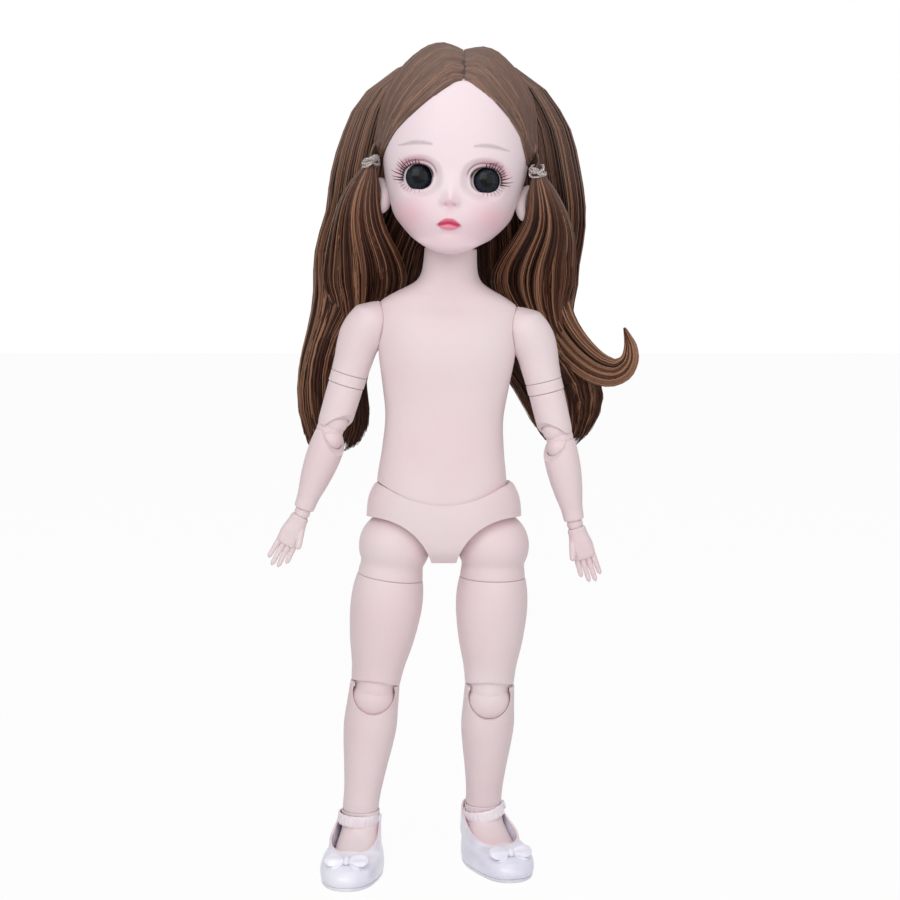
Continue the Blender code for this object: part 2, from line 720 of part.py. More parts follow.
def wig_stations(grow=0.0):
    return head_stations(WIG_THICKNESS + grow, WIG_SKIRT_SHARE)


def build_wig_crown(head, looks):
    shape = loft_mesh("wig_crown", wig_stations(), WIG_SIDES)
    crown = placed("wig_crown", shape, head, Matrix(), looks["hair"])
    skull = loft_mesh("skull in wig", head_stations(HAIR_GAP), HEAD_SIDES)
    combine(crown, placed("skull in wig", skull, head, Matrix()))
    reach = HEAD_HALF_WIDTH * HAIRLINE_WIDTH_SHARE
    peak = HEAD_RISE * HAIRLINE_RISE_SHARE
    half = [(reach * wide, peak * rise) for wide, rise in HAIRLINE_SHARES]
    outline = half + [(-x, z) for x, z in reversed(half[:-1])]
    opening = prism_mesh("hairline", outline, HEAD_HALF_DEPTH)
    place = moved(0, -HEAD_HALF_DEPTH * (1 + HAIRLINE_DEPTH_SHARE), 0)
    combine(crown, placed("hairline", opening, head, place))


def hair_stations(shares, grow=0.0):
    """Turns shares of the hair's box into levels, from the lowest up."""
    stations = []
    for drop, left, right, front, back in reversed(shares):
        middle = HAIR_HALF_SPREAD * (left + right) / 2
        half = HAIR_HALF_SPREAD * (right - left) / 2 + grow
        stations.append((
            HEAD_RISE * HAIR_TOP_SHARE - HAIR_LENGTH * drop, half,
            -HAIR_BACK_DEPTH * front + grow, HAIR_BACK_DEPTH * back + grow, middle,
        ))
    return stations


def elastic_point(sign):
    """The middle of an elastic, in the head."""
    return Vector((
        sign * HEAD_HALF_WIDTH * ELASTIC_OUT_SHARE, -HEAD_HALF_DEPTH * ELASTIC_FRONT_SHARE,
        HEAD_RISE * ELASTIC_RISE_SHARE,
    ))


def bunch_stations(sign):
    """Levels of a bunch, from its lowest up to just under its elastic."""
    out, ahead, rise = elastic_point(1.0)
    top = rise - ELASTIC_CORD_RADIUS
    stations = []
    for drop, inner, outer, front, back in reversed(BUNCH_SHARES):
        stations.append((
            top - BUNCH_LENGTH * drop, out * (outer - inner) / 2,
            -HAIR_BACK_DEPTH * front, HAIR_BACK_DEPTH * back, sign * out * (outer + inner) / 2,
        ))
    return stations


def hair_piece(name, shares, frame_empty, look=None, grow=0.0):
    mesh = loft_mesh(name, hair_stations(shares, grow), HAIR_SIDES)
    return placed(name, mesh, frame_empty, Matrix(), look)


def build_long_hair(hair, head, looks):
    wig_mesh = loft_mesh("wig in hair", wig_stations(HAIR_GAP), WIG_SIDES)
    wig_tool = placed("wig in hair", wig_mesh, head, Matrix())
    skull_mesh = loft_mesh("skull in hair", head_stations(HAIR_GAP), HEAD_SIDES)
    skull_tool = placed("skull in hair", skull_mesh, head, Matrix())
    back = hair_piece("hair_back", BACK_FALL_SHARES, hair, looks["hair"])
    combine(back, wig_tool)
    combine(back, skull_tool)
    back_tool = hair_piece("back fall in hair", BACK_FALL_SHARES, hair, None, HAIR_GAP)
    for side_name, sign in SIDES:
        hair_piece("hair_fall_" + side_name, SIDE_FALL_SHARES[side_name], hair, looks["hair"])
        bunch_name = "hair_bunch_" + side_name
        shape = loft_mesh(bunch_name, bunch_stations(sign), HAIR_SIDES)
        bunch = placed(bunch_name, shape, head, Matrix(), looks["hair"])
        combine(bunch, back_tool)
        combine(bunch, skull_tool)
        combine(bunch, ear_solid("ear in bunch " + side_name, sign, head, HAIR_GAP))
        tie = Matrix.Translation(elastic_point(sign))
        neck_name = "tied hair " + side_name
        neck = rod_mesh(neck_name, BUNCH_NECK_RADIUS, BUNCH_NECK_LENGTH, 8)
        combine(bunch, placed(neck_name, neck, head, tie), "UNION")
        build_elastic(side_name, tie, head, looks)
    build_curl(hair, back_tool, looks)


def build_elastic(side_name, tie, head, looks):
    name = "elastic_" + side_name
    profile = [
        (ELASTIC_RADIUS + x, z) for x, z in arc(ELASTIC_CORD_RADIUS, 180.0, -180.0, 6)
    ][:-1]
    spin(placed(name, profile_mesh(name, profile), head, tie, looks["elastic"]), 12)


def build_curl(hair, back_tool, looks):
    line = bpy.data.curves.new("curl line", "CURVE")
    line.dimensions = "3D"
    line.bevel_depth = CURL_THICKNESS
    line.bevel_resolution = 1
    line.use_fill_caps = True
    path = line.splines.new("POLY")
    path.points.add(len(CURL_SHARES) - 1)
    for point, (across, drop, depth, thick) in zip(path.points, CURL_SHARES):
        height = HEAD_RISE * HAIR_TOP_SHARE - HAIR_LENGTH * drop
        point.co = (HAIR_HALF_SPREAD * across, HAIR_BACK_DEPTH * depth, height, 1.0)
        point.radius = thick
    guide = bpy.data.objects.new("curl line", line)
    CUTTERS.objects.link(guide)
    bpy.context.view_layer.update()
    solid = bpy.data.meshes.new_from_object(guide.evaluated_get(bpy.context.evaluated_depsgraph_get()))
    bpy.data.objects.remove(guide, do_unlink=True)
    shape = bmesh.new()
    shape.from_mesh(solid)
    bmesh.ops.remove_doubles(shape, verts=shape.verts, dist=0.00001)
    bmesh.ops.recalc_face_normals(shape, faces=shape.faces)
    curl = placed("hair_curl", finished("hair_curl", shape), hair, Matrix(), looks["hair"])
    combine(curl, hair_piece("fall in curl", SIDE_FALL_SHARES["left"], hair, None, HAIR_GAP))
    combine(curl, back_tool)


def build_neck(neck, looks):
    ball = ball_mesh("neck_ball", NECK_BALL_RADIUS)
    placed("neck_ball", ball, neck, Matrix(), looks["skin"])


def limb_stations(shares, radius, top, bottom):
    """Levels of a limb, from its top drop to its bottom drop, lowest first."""
    stations = []
    for row in reversed(shares):
        wide = radius * row[1]
        front = radius * row[2] if len(row) > 2 else wide
        back = radius * row[3] if len(row) > 3 else front
        stations.append((-(top + (bottom - top) * row[0]), wide, front, back, 0.0))
    return stations


def relief(name, parent, matrix, size, below, towards_front):
    """A wedge that clears the bent side of a joint, hinged on its own X axis."""
    low = (-size, 0, -2 * size) if below else (-size, 0, 0)
    high = (size, 2 * size, 0) if below else (size, 2 * size, 2 * size)
    turn = KNEE_RELIEF_DEG if below else -KNEE_RELIEF_DEG
    facing = turned_about("Z", 180.0) if towards_front else Matrix()
    return placed(name, box_mesh(name, low, high), parent, matrix @ facing @ turned_about("X", turn))


def build_arm(side_name, sign, frames, looks):
    trunk, stud_frame, cap, upper, link, fore, wrist, hand = frames
    inward = turned_about("Y", sign * 90.0)
    stud(
        "shoulder_stud_" + side_name, SHOULDER_STUD_BALL_RADIUS, SHOULDER_STUD_STEM_RADIUS,
        SHOULDER_STUD_REACH, stud_frame, inward, looks["stud"],
    )

    name = "shoulder_cap_" + side_name
    body = placed(name, ball_mesh(name, SHOULDER_BALL_RADIUS), cap, Matrix(), looks["skin"])
    sleeve_name = "arm sleeve " + side_name
    stations = limb_stations(ARM_CAP_SHARES, ARM_RADIUS, 0.0, ARM_RING_DROP)
    combine(body, placed(sleeve_name, loft_mesh(sleeve_name, stations), cap, Matrix()), "UNION")
    well_name = "shoulder stud well " + side_name
    well = ball_mesh(well_name, SHOULDER_STUD_BALL_RADIUS + BALL_GAP, 12)
    combine(body, placed(well_name, well, cap, Matrix()))
    slot_name = "shoulder slot " + side_name
    reach = SHOULDER_BALL_RADIUS * SLOT_REACH_SHARE
    slot = slot_mesh(slot_name, reach, SHOULDER_STUD_STEM_RADIUS, *ARM_RAISE_DEG)
    mirror = Matrix() if sign > 0 else turned_about("Z", 180.0)
    combine(body, placed(slot_name, slot, stud_frame, mirror))

    name = "arm_ring_" + side_name
    top = -ARM_RING_DROP - SEAM_GAP
    bottom = top - ARM_RING_HEIGHT
    rim = SEAM_GAP * 2
    wide = ARM_RADIUS * ARM_RING_SHARE
    profile = [(0.0, top), (wide - rim, top), (wide, top - rim)]
    profile += [(wide, bottom + rim), (wide - rim, bottom), (0.0, bottom)]
    spin(placed(name, profile_mesh(name, profile), cap, Matrix(), looks["skin"]), LIMB_SIDES)

    name = "upper_arm_" + side_name
    start = ARM_RING_DROP + ARM_RING_HEIGHT + 2 * SEAM_GAP
    stations = limb_stations(UPPER_ARM_SHARES, ARM_RADIUS, start, ELBOW_UPPER_DROP + ELBOW_RIM)
    body = placed(name, loft_mesh(name, stations), upper, Matrix(), looks["skin"])
    well_name = "upper elbow well " + side_name
    well = ball_mesh(well_name, ELBOW_BALL_RADIUS + BALL_GAP, 12)
    combine(body, placed(well_name, well, link, Matrix()))
    wedge_name = "upper elbow relief " + side_name
    edge = moved(0, 0, -ELBOW_RIM)
    combine(body, relief(wedge_name, link, edge, ARM_RADIUS * 2, True, True))

    name = "elbow_link_" + side_name
    body = placed(name, ball_mesh(name, ELBOW_BALL_RADIUS, 12), link, Matrix(), looks["skin"])
    lower_name = "elbow lower ball " + side_name
    lower = ball_mesh(lower_name, ELBOW_BALL_RADIUS, 12)
    combine(body, placed(lower_name, lower, link, moved(0, 0, -ELBOW_SPAN)), "UNION")

    name = "forearm_" + side_name
    stations = limb_stations(FOREARM_SHARES, ARM_RADIUS, -ELBOW_RIM, FOREARM_LENGTH - WRIST_RIM)
    body = placed(name, loft_mesh(name, stations), fore, Matrix(), looks["skin"])
    well_name = "lower elbow well " + side_name
    well = ball_mesh(well_name, ELBOW_BALL_RADIUS + BALL_GAP, 12)
    combine(body, placed(well_name, well, fore, Matrix()))
    wedge_name = "lower elbow relief " + side_name
    edge = turned_about("Z", -sign * ELBOW_TURN_DEG) @ moved(0, 0, ELBOW_RIM)
    combine(body, relief(wedge_name, fore, edge, ARM_RADIUS * 2, False, True))
    well_name = "wrist well " + side_name
    well = ball_mesh(well_name, WRIST_BALL_RADIUS + SEAM_GAP, 12, 6)
    combine(body, placed(well_name, well, wrist, Matrix()))

    name = "wrist_ball_" + side_name
    placed(name, ball_mesh(name, WRIST_BALL_RADIUS, 12, 6), wrist, Matrix(), looks["skin"])
    build_hand(side_name, sign, hand, looks)


def build_hand(side_name, sign, hand, looks):
    name = "hand_" + side_name
    stations = []
    for along, wide, thick in reversed(PALM_SHARES):
        drop = WRIST_RIM + (HAND_LENGTH - WRIST_RIM) * along
        stations.append((
            -drop, PALM_HALF_WIDTH * wide, PALM_HALF_THICKNESS * thick, PALM_HALF_THICKNESS * thick, 0.0,
        ))
    body = placed(name, loft_mesh(name, stations, 10), hand, Matrix(), looks["skin"])
    palm_end = HAND_LENGTH * PALM_END_SHARE
    for number, (across, reach, lean) in enumerate(FINGER_SHARES):
        finger_name = "finger " + side_name + str(number)
        length = HAND_LENGTH * reach - palm_end + WRIST_RIM
        finger = rod_mesh(finger_name, FINGER_RADIUS * FINGER_TIP_SHARE, length, 6, FINGER_RADIUS)
        root = moved(sign * PALM_HALF_WIDTH * across, 0, -palm_end + WRIST_RIM)
        place = root @ turned_about("Y", -sign * lean) @ moved(0, 0, -length / 2)
        combine(body, placed(finger_name, finger, hand, place), "UNION")
    thumb_name = "thumb " + side_name
    (root_out, root_drop), (tip_out, tip_drop) = THUMB_SHARES
    root = Vector((-sign * PALM_HALF_WIDTH * root_out, 0, -HAND_LENGTH * root_drop))
    tip = Vector((-sign * PALM_HALF_WIDTH * tip_out, -PALM_HALF_THICKNESS, -HAND_LENGTH * tip_drop))
    along = tip - root
    thumb = rod_mesh(thumb_name, THUMB_RADIUS, along.length, 6, THUMB_RADIUS * THUMB_TIP_SHARE)
    place = Matrix.Translation((root + tip) / 2) @ along.to_track_quat("Z", "Y").to_matrix().to_4x4()
    combine(body, placed(thumb_name, thumb, hand, place), "UNION")
    well_name = "hand well " + side_name
    well = ball_mesh(well_name, WRIST_BALL_RADIUS + SEAM_GAP, 12, 6)
    combine(body, placed(well_name, well, hand, Matrix()))


def build_leg(side_name, sign, frames, looks):
    stud_frame, ball, thigh, link, shin, ankle, foot = frames
    inward = turned_about("Y", sign * 90.0)
    stud(
        "hip_stud_" + side_name, HIP_STUD_BALL_RADIUS, HIP_STUD_STEM_RADIUS, HIP_STUD_REACH,
        stud_frame, inward, looks["stud"],
    )

    name = "hip_ball_" + side_name
    profile = [(0.0, HIP_BALL_RADIUS)] + list(arc(HIP_BALL_RADIUS, 90.0, -34.0, 7))[1:]
    profile += [(HIP_SKIRT_RADIUS, -HIP_BALL_SKIRT), (0.0, -HIP_BALL_SKIRT)]
    profile[-3] = (max(profile[-3][0], HIP_SKIRT_RADIUS - SEAM_GAP), profile[-3][1])
    body = spin(placed(name, profile_mesh(name, profile), ball, Matrix(), looks["skin"]), 16)
    well_name = "hip stud well " + side_name
    well = ball_mesh(well_name, HIP_STUD_BALL_RADIUS + BALL_GAP, 12)
    combine(body, placed(well_name, well, ball, Matrix()))
    slot_name = "hip slot " + side_name
    slot = slot_mesh(slot_name, HIP_BALL_RADIUS * SLOT_REACH_SHARE, HIP_STUD_STEM_RADIUS, *LEG_SPREAD_DEG)
    mirror = Matrix() if sign > 0 else turned_about("Z", 180.0)
    combine(body, placed(slot_name, slot, stud_frame, mirror))

    name = "thigh_" + side_name
    stations = limb_stations(THIGH_SHARES, THIGH_RADIUS, HIP_BALL_SKIRT + SEAM_GAP, KNEE_SEAM_DROP)
    body = placed(name, loft_mesh(name, stations, 14), thigh, Matrix(), looks["skin"])
    well_name = "upper knee well " + side_name
    well = ball_mesh(well_name, KNEE_TOP_BALL_RADIUS + BALL_GAP)
    combine(body, placed(well_name, well, link, Matrix()))
    edge = moved(0, 0, KNEE_UPPER_DROP - KNEE_SEAM_DROP)
    wedge_name = "upper knee relief " + side_name
    combine(body, relief(wedge_name, link, edge, THIGH_RADIUS * 2, True, False))

    name = "knee_link_" + side_name
    body = placed(name, ball_mesh(name, KNEE_TOP_BALL_RADIUS), link, Matrix(), looks["skin"])
    cap_name = "knee cap ball " + side_name
    cap = ball_mesh(cap_name, KNEE_CAP_BALL_RADIUS)
    combine(body, placed(cap_name, cap, link, moved(0, -KNEE_CAP_FORWARD, -KNEE_SPAN)), "UNION")

    name = "shin_" + side_name
    top = KNEE_SEAM_DROP + SEAM_GAP - KNEE_UPPER_DROP - KNEE_SPAN
    scale = (SHIN_LENGTH - ANKLE_RIM) / SHIN_SHARES[-1][0]
    stations = []
    for along, wide, front, back in reversed(SHIN_SHARES):
        drop = scale * along if along > 0 else top
        stations.append((-drop, SHIN_RADIUS * wide, SHIN_RADIUS * front, SHIN_RADIUS * back, 0.0))
    body = placed(name, loft_mesh(name, stations, 14), shin, Matrix(), looks["skin"])
    well_name = "lower knee well " + side_name
    well = ball_mesh(well_name, KNEE_CAP_BALL_RADIUS + BALL_GAP)
    combine(body, placed(well_name, well, shin, moved(0, -KNEE_CAP_FORWARD, 0)))
    notch_name = "knee notch " + side_name
    notch = rod_mesh(notch_name, KNEE_NOTCH_RADIUS, 4 * SHIN_RADIUS, 14)
    place = moved(0, 0, KNEE_NOTCH_RISE) @ turned_about("X", 90.0)
    combine(body, placed(notch_name, notch, shin, place))
    wedge_name = "lower knee relief " + side_name
    edge = moved(0, KNEE_CAP_FORWARD, -top)
    combine(body, relief(wedge_name, shin, edge, THIGH_RADIUS * 2, False, False))
    well_name = "shin ankle well " + side_name
    well = ball_mesh(well_name, ANKLE_BALL_RADIUS + BALL_GAP, 12)
    combine(body, placed(well_name, well, ankle, Matrix()))

    name = "ankle_ball_" + side_name
    placed(name, ball_mesh(name, ANKLE_BALL_RADIUS, 12), ankle, Matrix(), looks["skin"])
    build_foot(side_name, foot, looks)
    build_shoe(side_name, sign, foot, looks)


def foot_stations(grow=0.0):
    bottom = SOLE_THICKNESS + SEAM_GAP
    top = ANKLE_HEIGHT - ANKLE_RIM
    stations = []
    for rise, wide, front, back in FOOT_SHARES:
        height = bottom + SEAM_GAP + (top - bottom - SEAM_GAP) * rise - ANKLE_HEIGHT
        if grow > 0.0 and rise in (0.0, 1.0):
            height += OVERRUN if rise == 1.0 else -OVERRUN
        stations.append((
            height, FOOT_HALF_WIDTH * wide + grow, FOOT_FRONT * front + grow, FOOT_HEEL * back + grow, 0.0,
        ))
    return stations


def build_foot(side_name, foot, looks):
    name = "foot_" + side_name
    body = placed(name, loft_mesh(name, foot_stations()), foot, Matrix(), looks["skin"])
    well_name = "foot ankle well " + side_name
    well = ball_mesh(well_name, ANKLE_BALL_RADIUS + BALL_GAP, 12)
    combine(body, placed(well_name, well, foot, Matrix()))


def build_shoe(side_name, sign, foot, looks):
    floor = moved(0, 0, -ANKLE_HEIGHT)
    name = "shoe_sole_" + side_name
    stations = [
        (height, SOLE_HALF_WIDTH, SHOE_FRONT, SHOE_HEEL, 0.0) for height in (0.0, SOLE_THICKNESS)
    ]
    placed(name, loft_mesh(name, stations, 16, SHOE_SQUARENESS), foot, floor, looks["shoe"])

    name = "shoe_upper_" + side_name
    bottom = SOLE_THICKNESS + SEAM_GAP
    stations = [
        (
            bottom + (SHOE_HEIGHT - bottom) * rise, SOLE_HALF_WIDTH * wide,
            SHOE_FRONT * front, SHOE_HEEL * back, 0.0,
        )
        for rise, wide, front, back in SHOE_SHARES
    ]
    body = placed(name, loft_mesh(name, stations, 16, SHOE_SQUARENESS), foot, floor, looks["shoe"])
    foot_name = "foot in shoe " + side_name
    combine(body, placed(foot_name, loft_mesh(foot_name, foot_stations(SEAM_GAP)), foot, Matrix()))
    mouth_name = "shoe mouth " + side_name
    mouth = box_mesh(
        mouth_name, (-2 * SOLE_HALF_WIDTH, -SHOE_VAMP_FRONT, SHOE_COLLAR_HEIGHT),
        (2 * SOLE_HALF_WIDTH, SHOE_COUNTER_BACK, SHOE_HEIGHT + OVERRUN),
    )
    combine(body, placed(mouth_name, mouth, foot, floor))

    name = "shoe_strap_" + side_name
    inner = STRAP_RADIUS - STRAP_THICKNESS / 2
    outer = STRAP_RADIUS + STRAP_THICKNESS / 2
    top = STRAP_RISE + STRAP_HEIGHT
    profile = [(outer, top), (outer, STRAP_RISE), (inner, STRAP_RISE), (inner, top)]
    spin(placed(name, profile_mesh(name, profile), foot, floor, looks["shoe"]), LIMB_SIDES)

    name = "strap_button_" + side_name
    place = moved(outer + SEAM_GAP + BUTTON_THICKNESS / 2, 0, STRAP_RISE + STRAP_HEIGHT / 2)
    button = rod_mesh(name, BUTTON_RADIUS, BUTTON_THICKNESS)
    placed(name, button, foot, floor @ place @ turned_about("Y", 90.0), looks["shoe"])

    name = "shoe_bow_" + side_name
    place = floor @ moved(0, -BOW_FRONT, BOW_RISE) @ turned_about("X", BOW_LIE_DEG)
    thin = BOW_THICKNESS / BOW_HALF_HEIGHT / 2
    knot = ball_mesh(name, BOW_HALF_HEIGHT, 8, 6, (BOW_KNOT_SHARES[0], thin, BOW_KNOT_SHARES[1]))
    body = placed(name, knot, foot, place, looks["shoe"])
    for loop_name, way in (("bow loop a ", 1.0), ("bow loop b ", -1.0)):
        pinch = BOW_HALF_HEIGHT * BOW_PINCH_SHARE
        loop = rod_mesh(loop_name + side_name, BOW_HALF_HEIGHT, BOW_HALF_WIDTH, 8, pinch)
        loop.transform(Matrix.Diagonal((1.0, thin * BOW_LOOP_SHARE, 1.0, 1.0)))
        turn = turned_about("Y", -way * 90.0)
        lie = moved(way * BOW_HALF_WIDTH / 2, 0, 0) @ turn
        combine(body, placed(loop_name + side_name, loop, foot, place @ lie), "UNION")


def arm_frames(side_name, sign, trunk_matrix, trunk):
    leans = [turned_about("Y", -sign * lean) for lean in ARM_LEAN_DEG[side_name]]
    centre = trunk_matrix @ shoulder_point(sign)
    tilt = trunk_matrix.to_3x3().to_4x4()
    elbow_turn = turned_about("Z", -sign * ELBOW_TURN_DEG)
    elbow = centre + leans[0] @ Vector((0, 0, -ELBOW_UPPER_DROP))
    lower = elbow + leans[0] @ Vector((0, 0, -ELBOW_SPAN))
    wrist = lower + leans[1] @ Vector((0, 0, -FOREARM_LENGTH))
    return (
        trunk,
        frame("shoulder stud frame " + side_name, at(centre, tilt)),
        frame("shoulder frame " + side_name, at(centre, leans[0])),
        frame("arm twist frame " + side_name, at(centre, leans[0])),
        frame("elbow frame " + side_name, at(elbow, leans[0], elbow_turn)),
        frame("forearm frame " + side_name, at(lower, leans[1])),
        frame("wrist frame " + side_name, at(wrist, leans[1])),
        frame("hand frame " + side_name, at(wrist, leans[2])),
    )


def knee_bend(side_name, drop):
    """How far the shin swings back so that this ankle hangs as low as the other."""
    thigh_drop = (KNEE_UPPER_DROP + KNEE_SPAN) * math.cos(math.radians(THIGH_LEAN_DEG[side_name]))
    reach = SHIN_LENGTH * math.cos(math.radians(SHIN_LEAN_DEG[side_name]))
    return math.degrees(math.acos(min(1.0, (drop - thigh_drop) / reach)))


def straight_drop(side_name):
    thigh = (KNEE_UPPER_DROP + KNEE_SPAN) * math.cos(math.radians(THIGH_LEAN_DEG[side_name]))
    return thigh + SHIN_LENGTH * math.cos(math.radians(SHIN_LEAN_DEG[side_name]))


def leg_frames(side_name, sign, pelvis_matrix, drop):
    thigh_lean = turned_about("Y", -sign * THIGH_LEAN_DEG[side_name])
    bend = turned_about("X", knee_bend(side_name, drop))
    shin_lean = turned_about("Y", -sign * SHIN_LEAN_DEG[side_name]) @ bend
    hip = pelvis_matrix @ Vector((sign * HIP_OUT, 0, 0))
    knee = hip + thigh_lean @ Vector((0, 0, -KNEE_UPPER_DROP))
    lower = knee + thigh_lean @ Vector((0, 0, -KNEE_SPAN))
    ankle = lower + shin_lean @ Vector((0, 0, -SHIN_LENGTH))
    ankle.z = ANKLE_HEIGHT
    toe_out = turned_about("Z", sign * TOE_OUT_DEG[side_name])
    return (
        frame("hip stud frame " + side_name, at(hip)),
        frame("hip frame " + side_name, at(hip, thigh_lean)),
        frame("thigh frame " + side_name, at(hip, thigh_lean)),
        frame("knee frame " + side_name, at(knee, thigh_lean)),
        frame("shin frame " + side_name, at(lower, shin_lean)),
        frame("ankle frame " + side_name, at(ankle)),
        frame("foot frame " + side_name, at(ankle, toe_out)),
    )


def build_doll():
    looks = build_looks()
    drop = min(straight_drop(side_name) for side_name, sign in SIDES)
    pelvis_matrix = moved(-PELVIS_SIDE_STEP, -STAND_DEPTH_STEP, ANKLE_HEIGHT + drop)
    waist_matrix = pelvis_matrix @ moved(0, 0, WAIST_RISE)
    trunk_matrix = waist_matrix @ turned_about("Y", TRUNK_TILT_DEG)
    neck_point = trunk_matrix @ Vector((0, 0, TRUNK_RISE + NECK_BALL_RISE))
    head_matrix = at(neck_point, turned_about("Y", HEAD_TILT_DEG), turned_about("Z", HEAD_TURN_DEG))

    pelvis = frame("pelvis frame", pelvis_matrix)
    waist = frame("waist frame", waist_matrix)
    trunk = frame("trunk frame", trunk_matrix)
    neck = frame("neck frame", at(neck_point, turned_about("Y", TRUNK_TILT_DEG)))
    head = frame("head frame", head_matrix)
    hair = frame("hair frame", at(neck_point - Vector((neck_point.x, 0, 0))))

    build_pelvis(pelvis, waist, looks)
    build_waist_stud(waist, looks)
    build_trunk(trunk, looks)
    build_neck(neck, looks)
    build_head(head, looks)
    build_wig_crown(head, looks)
    build_long_hair(hair, head, looks)
    for side_name, sign in SIDES:
        build_arm(side_name, sign, arm_frames(side_name, sign, trunk_matrix, trunk), looks)
        build_leg(side_name, sign, leg_frames(side_name, sign, pelvis_matrix, drop), looks)


clear_scene()
PARTS = collection("ball jointed doll")
CUTTERS = collection("cutters")
build_doll()
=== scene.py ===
# Ball jointed doll, about 30 cm tall, in strap shoes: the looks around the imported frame.
# Pieces are drawn in millimetres in the frame of the body that carries them, then put in place.
import json
import math
import random

import bmesh
import bpy
from mathutils import Matrix, Vector, noise


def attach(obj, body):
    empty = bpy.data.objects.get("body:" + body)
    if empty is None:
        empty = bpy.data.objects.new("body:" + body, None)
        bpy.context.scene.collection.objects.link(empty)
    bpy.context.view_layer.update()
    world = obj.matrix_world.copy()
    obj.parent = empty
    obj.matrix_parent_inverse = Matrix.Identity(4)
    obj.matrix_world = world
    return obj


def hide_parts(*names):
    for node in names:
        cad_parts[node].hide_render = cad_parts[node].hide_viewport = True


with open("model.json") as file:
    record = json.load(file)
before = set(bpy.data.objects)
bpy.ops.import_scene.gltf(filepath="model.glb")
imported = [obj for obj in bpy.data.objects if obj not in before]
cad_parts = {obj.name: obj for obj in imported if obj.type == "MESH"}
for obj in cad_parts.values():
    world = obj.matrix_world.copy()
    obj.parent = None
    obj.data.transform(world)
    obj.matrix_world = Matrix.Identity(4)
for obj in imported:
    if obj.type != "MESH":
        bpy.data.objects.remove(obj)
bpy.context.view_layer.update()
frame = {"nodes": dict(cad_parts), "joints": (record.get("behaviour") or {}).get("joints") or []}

sides = {"left": 1.0, "right": -1.0}   # the doll's own left is at +X, on the right of the picture
jointAt = {joint["name"]: Vector(joint["pos_m"]) for joint in frame["joints"]}
dice = random.Random(7)


def linear(code):
    # sRGB hex to the linear values that the shaders want
    parts = [int(code[i:i + 2], 16) / 255 for i in (1, 3, 5)]
    return tuple(p / 12.92 if p <= 0.04045 else ((p + 0.055) / 1.055) ** 2.4 for p in parts)


def mixed(first, second, share):
    share = min(1.0, max(0.0, share))
    return tuple(a + (b - a) * share for a, b in zip(first, second))


def smooth(low, high, value):
    share = min(1.0, max(0.0, (value - low) / (high - low)))
    return share * share * (3 - 2 * share)


def bell(value, middle, spread):
    return math.exp(-((value - middle) / spread) ** 2)


def rounded(value, power):
    return math.copysign(abs(value) ** power, value)


def turn(axis, degrees):
    return Matrix.Rotation(math.radians(degrees), 4, axis)


def moved(*point):
    return Matrix.Translation(point)


def inPlace(point, *turns):
    # the frame of a body: millimetres inside, metres outside
    matrix = Matrix.Translation(point)
    for one in turns:
        matrix = matrix @ one
    return matrix @ Matrix.Scale(0.001, 4)


def plug(tree, node, sockets):
    for name, value in sockets.items():
        if isinstance(value, bpy.types.NodeSocket):
            tree.links.new(value, node.inputs[name])
        else:
            node.inputs[name].default_value = value


def addNode(tree, kind, sockets, stops=(), **settings):
    made = tree.nodes.new("ShaderNode" + kind)
    for name, value in settings.items():
        setattr(made, name, value)
    plug(tree, made, sockets)
    for k, (place, colour) in enumerate(stops):
        points = made.color_ramp.elements
        point = points[k] if k < len(points) else points.new(place)
        point.position = place
        point.color = (*linear(colour), 1.0)
    return made


def newMaterial(name, settings):
    made = bpy.data.materials.new(name)
    made.use_nodes = True
    tree = made.node_tree
    shader = tree.nodes["Principled BSDF"]
    plug(tree, shader, settings)
    return made, tree, shader


def newObject(name, data):
    made = bpy.data.objects.new(name, data)
    bpy.context.scene.collection.objects.link(made)
    return made


def finishPiece(name, mesh, material, body, replaced=(), sharp=0):
    # one finished object at the origin, with its place in its mesh
    piece = newObject(name, mesh)
    mesh.materials.clear()
    mesh.materials.append(material)
    mesh.shade_smooth()
    if sharp:
        mesh.set_sharp_from_angle(angle=math.radians(sharp))
    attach(piece, body)
    if replaced:
        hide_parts(*replaced)


def meshFrom(name, shape, place=None, flip=True):
    if flip:
        bmesh.ops.recalc_face_normals(shape, faces=shape.faces)
    if place is not None:
        bmesh.ops.transform(shape, matrix=place, verts=shape.verts)
    mesh = bpy.data.meshes.new(name)
    shape.to_mesh(mesh)
    shape.free()
    return mesh


def baked(name, thing, *helpers):
    # the mesh of an object after its modifiers; the object and its helpers go
    bpy.context.view_layer.update()
    mesh = bpy.data.meshes.new_from_object(thing.evaluated_get(bpy.context.evaluated_depsgraph_get()))
    mesh.name = name
    for item in (thing, *helpers):
        bpy.data.objects.remove(item, do_unlink=True)
    return mesh


def tableAt(rows, height):
    # a row between the rows of a table, eased so that the outline has no corners
    if height <= rows[0][0]:
        return (height, *rows[0][1:])
    for k in range(len(rows) - 1):
        if height <= rows[k + 1][0]:
            break
    before, low, high = rows[max(0, k - 1)], rows[k], rows[k + 1]
    after = rows[min(len(rows) - 1, k + 2)]
    span = high[0] - low[0]
    share = min(1.0, (height - low[0]) / span)
    values = []
    for a, b, c, d in zip(before[1:], low[1:], high[1:], after[1:]):
        startSlope = (c - a) / max(1e-6, high[0] - before[0]) * span
        endSlope = (d - b) / max(1e-6, after[0] - low[0]) * span
        t2, t3 = share * share, share ** 3
        values.append((2 * t3 - 3 * t2 + 1) * b + (t3 - 2 * t2 + share) * startSlope
                      + (3 * t2 - 2 * t3) * c + (t3 - t2) * endSlope)
    return (height, *values)


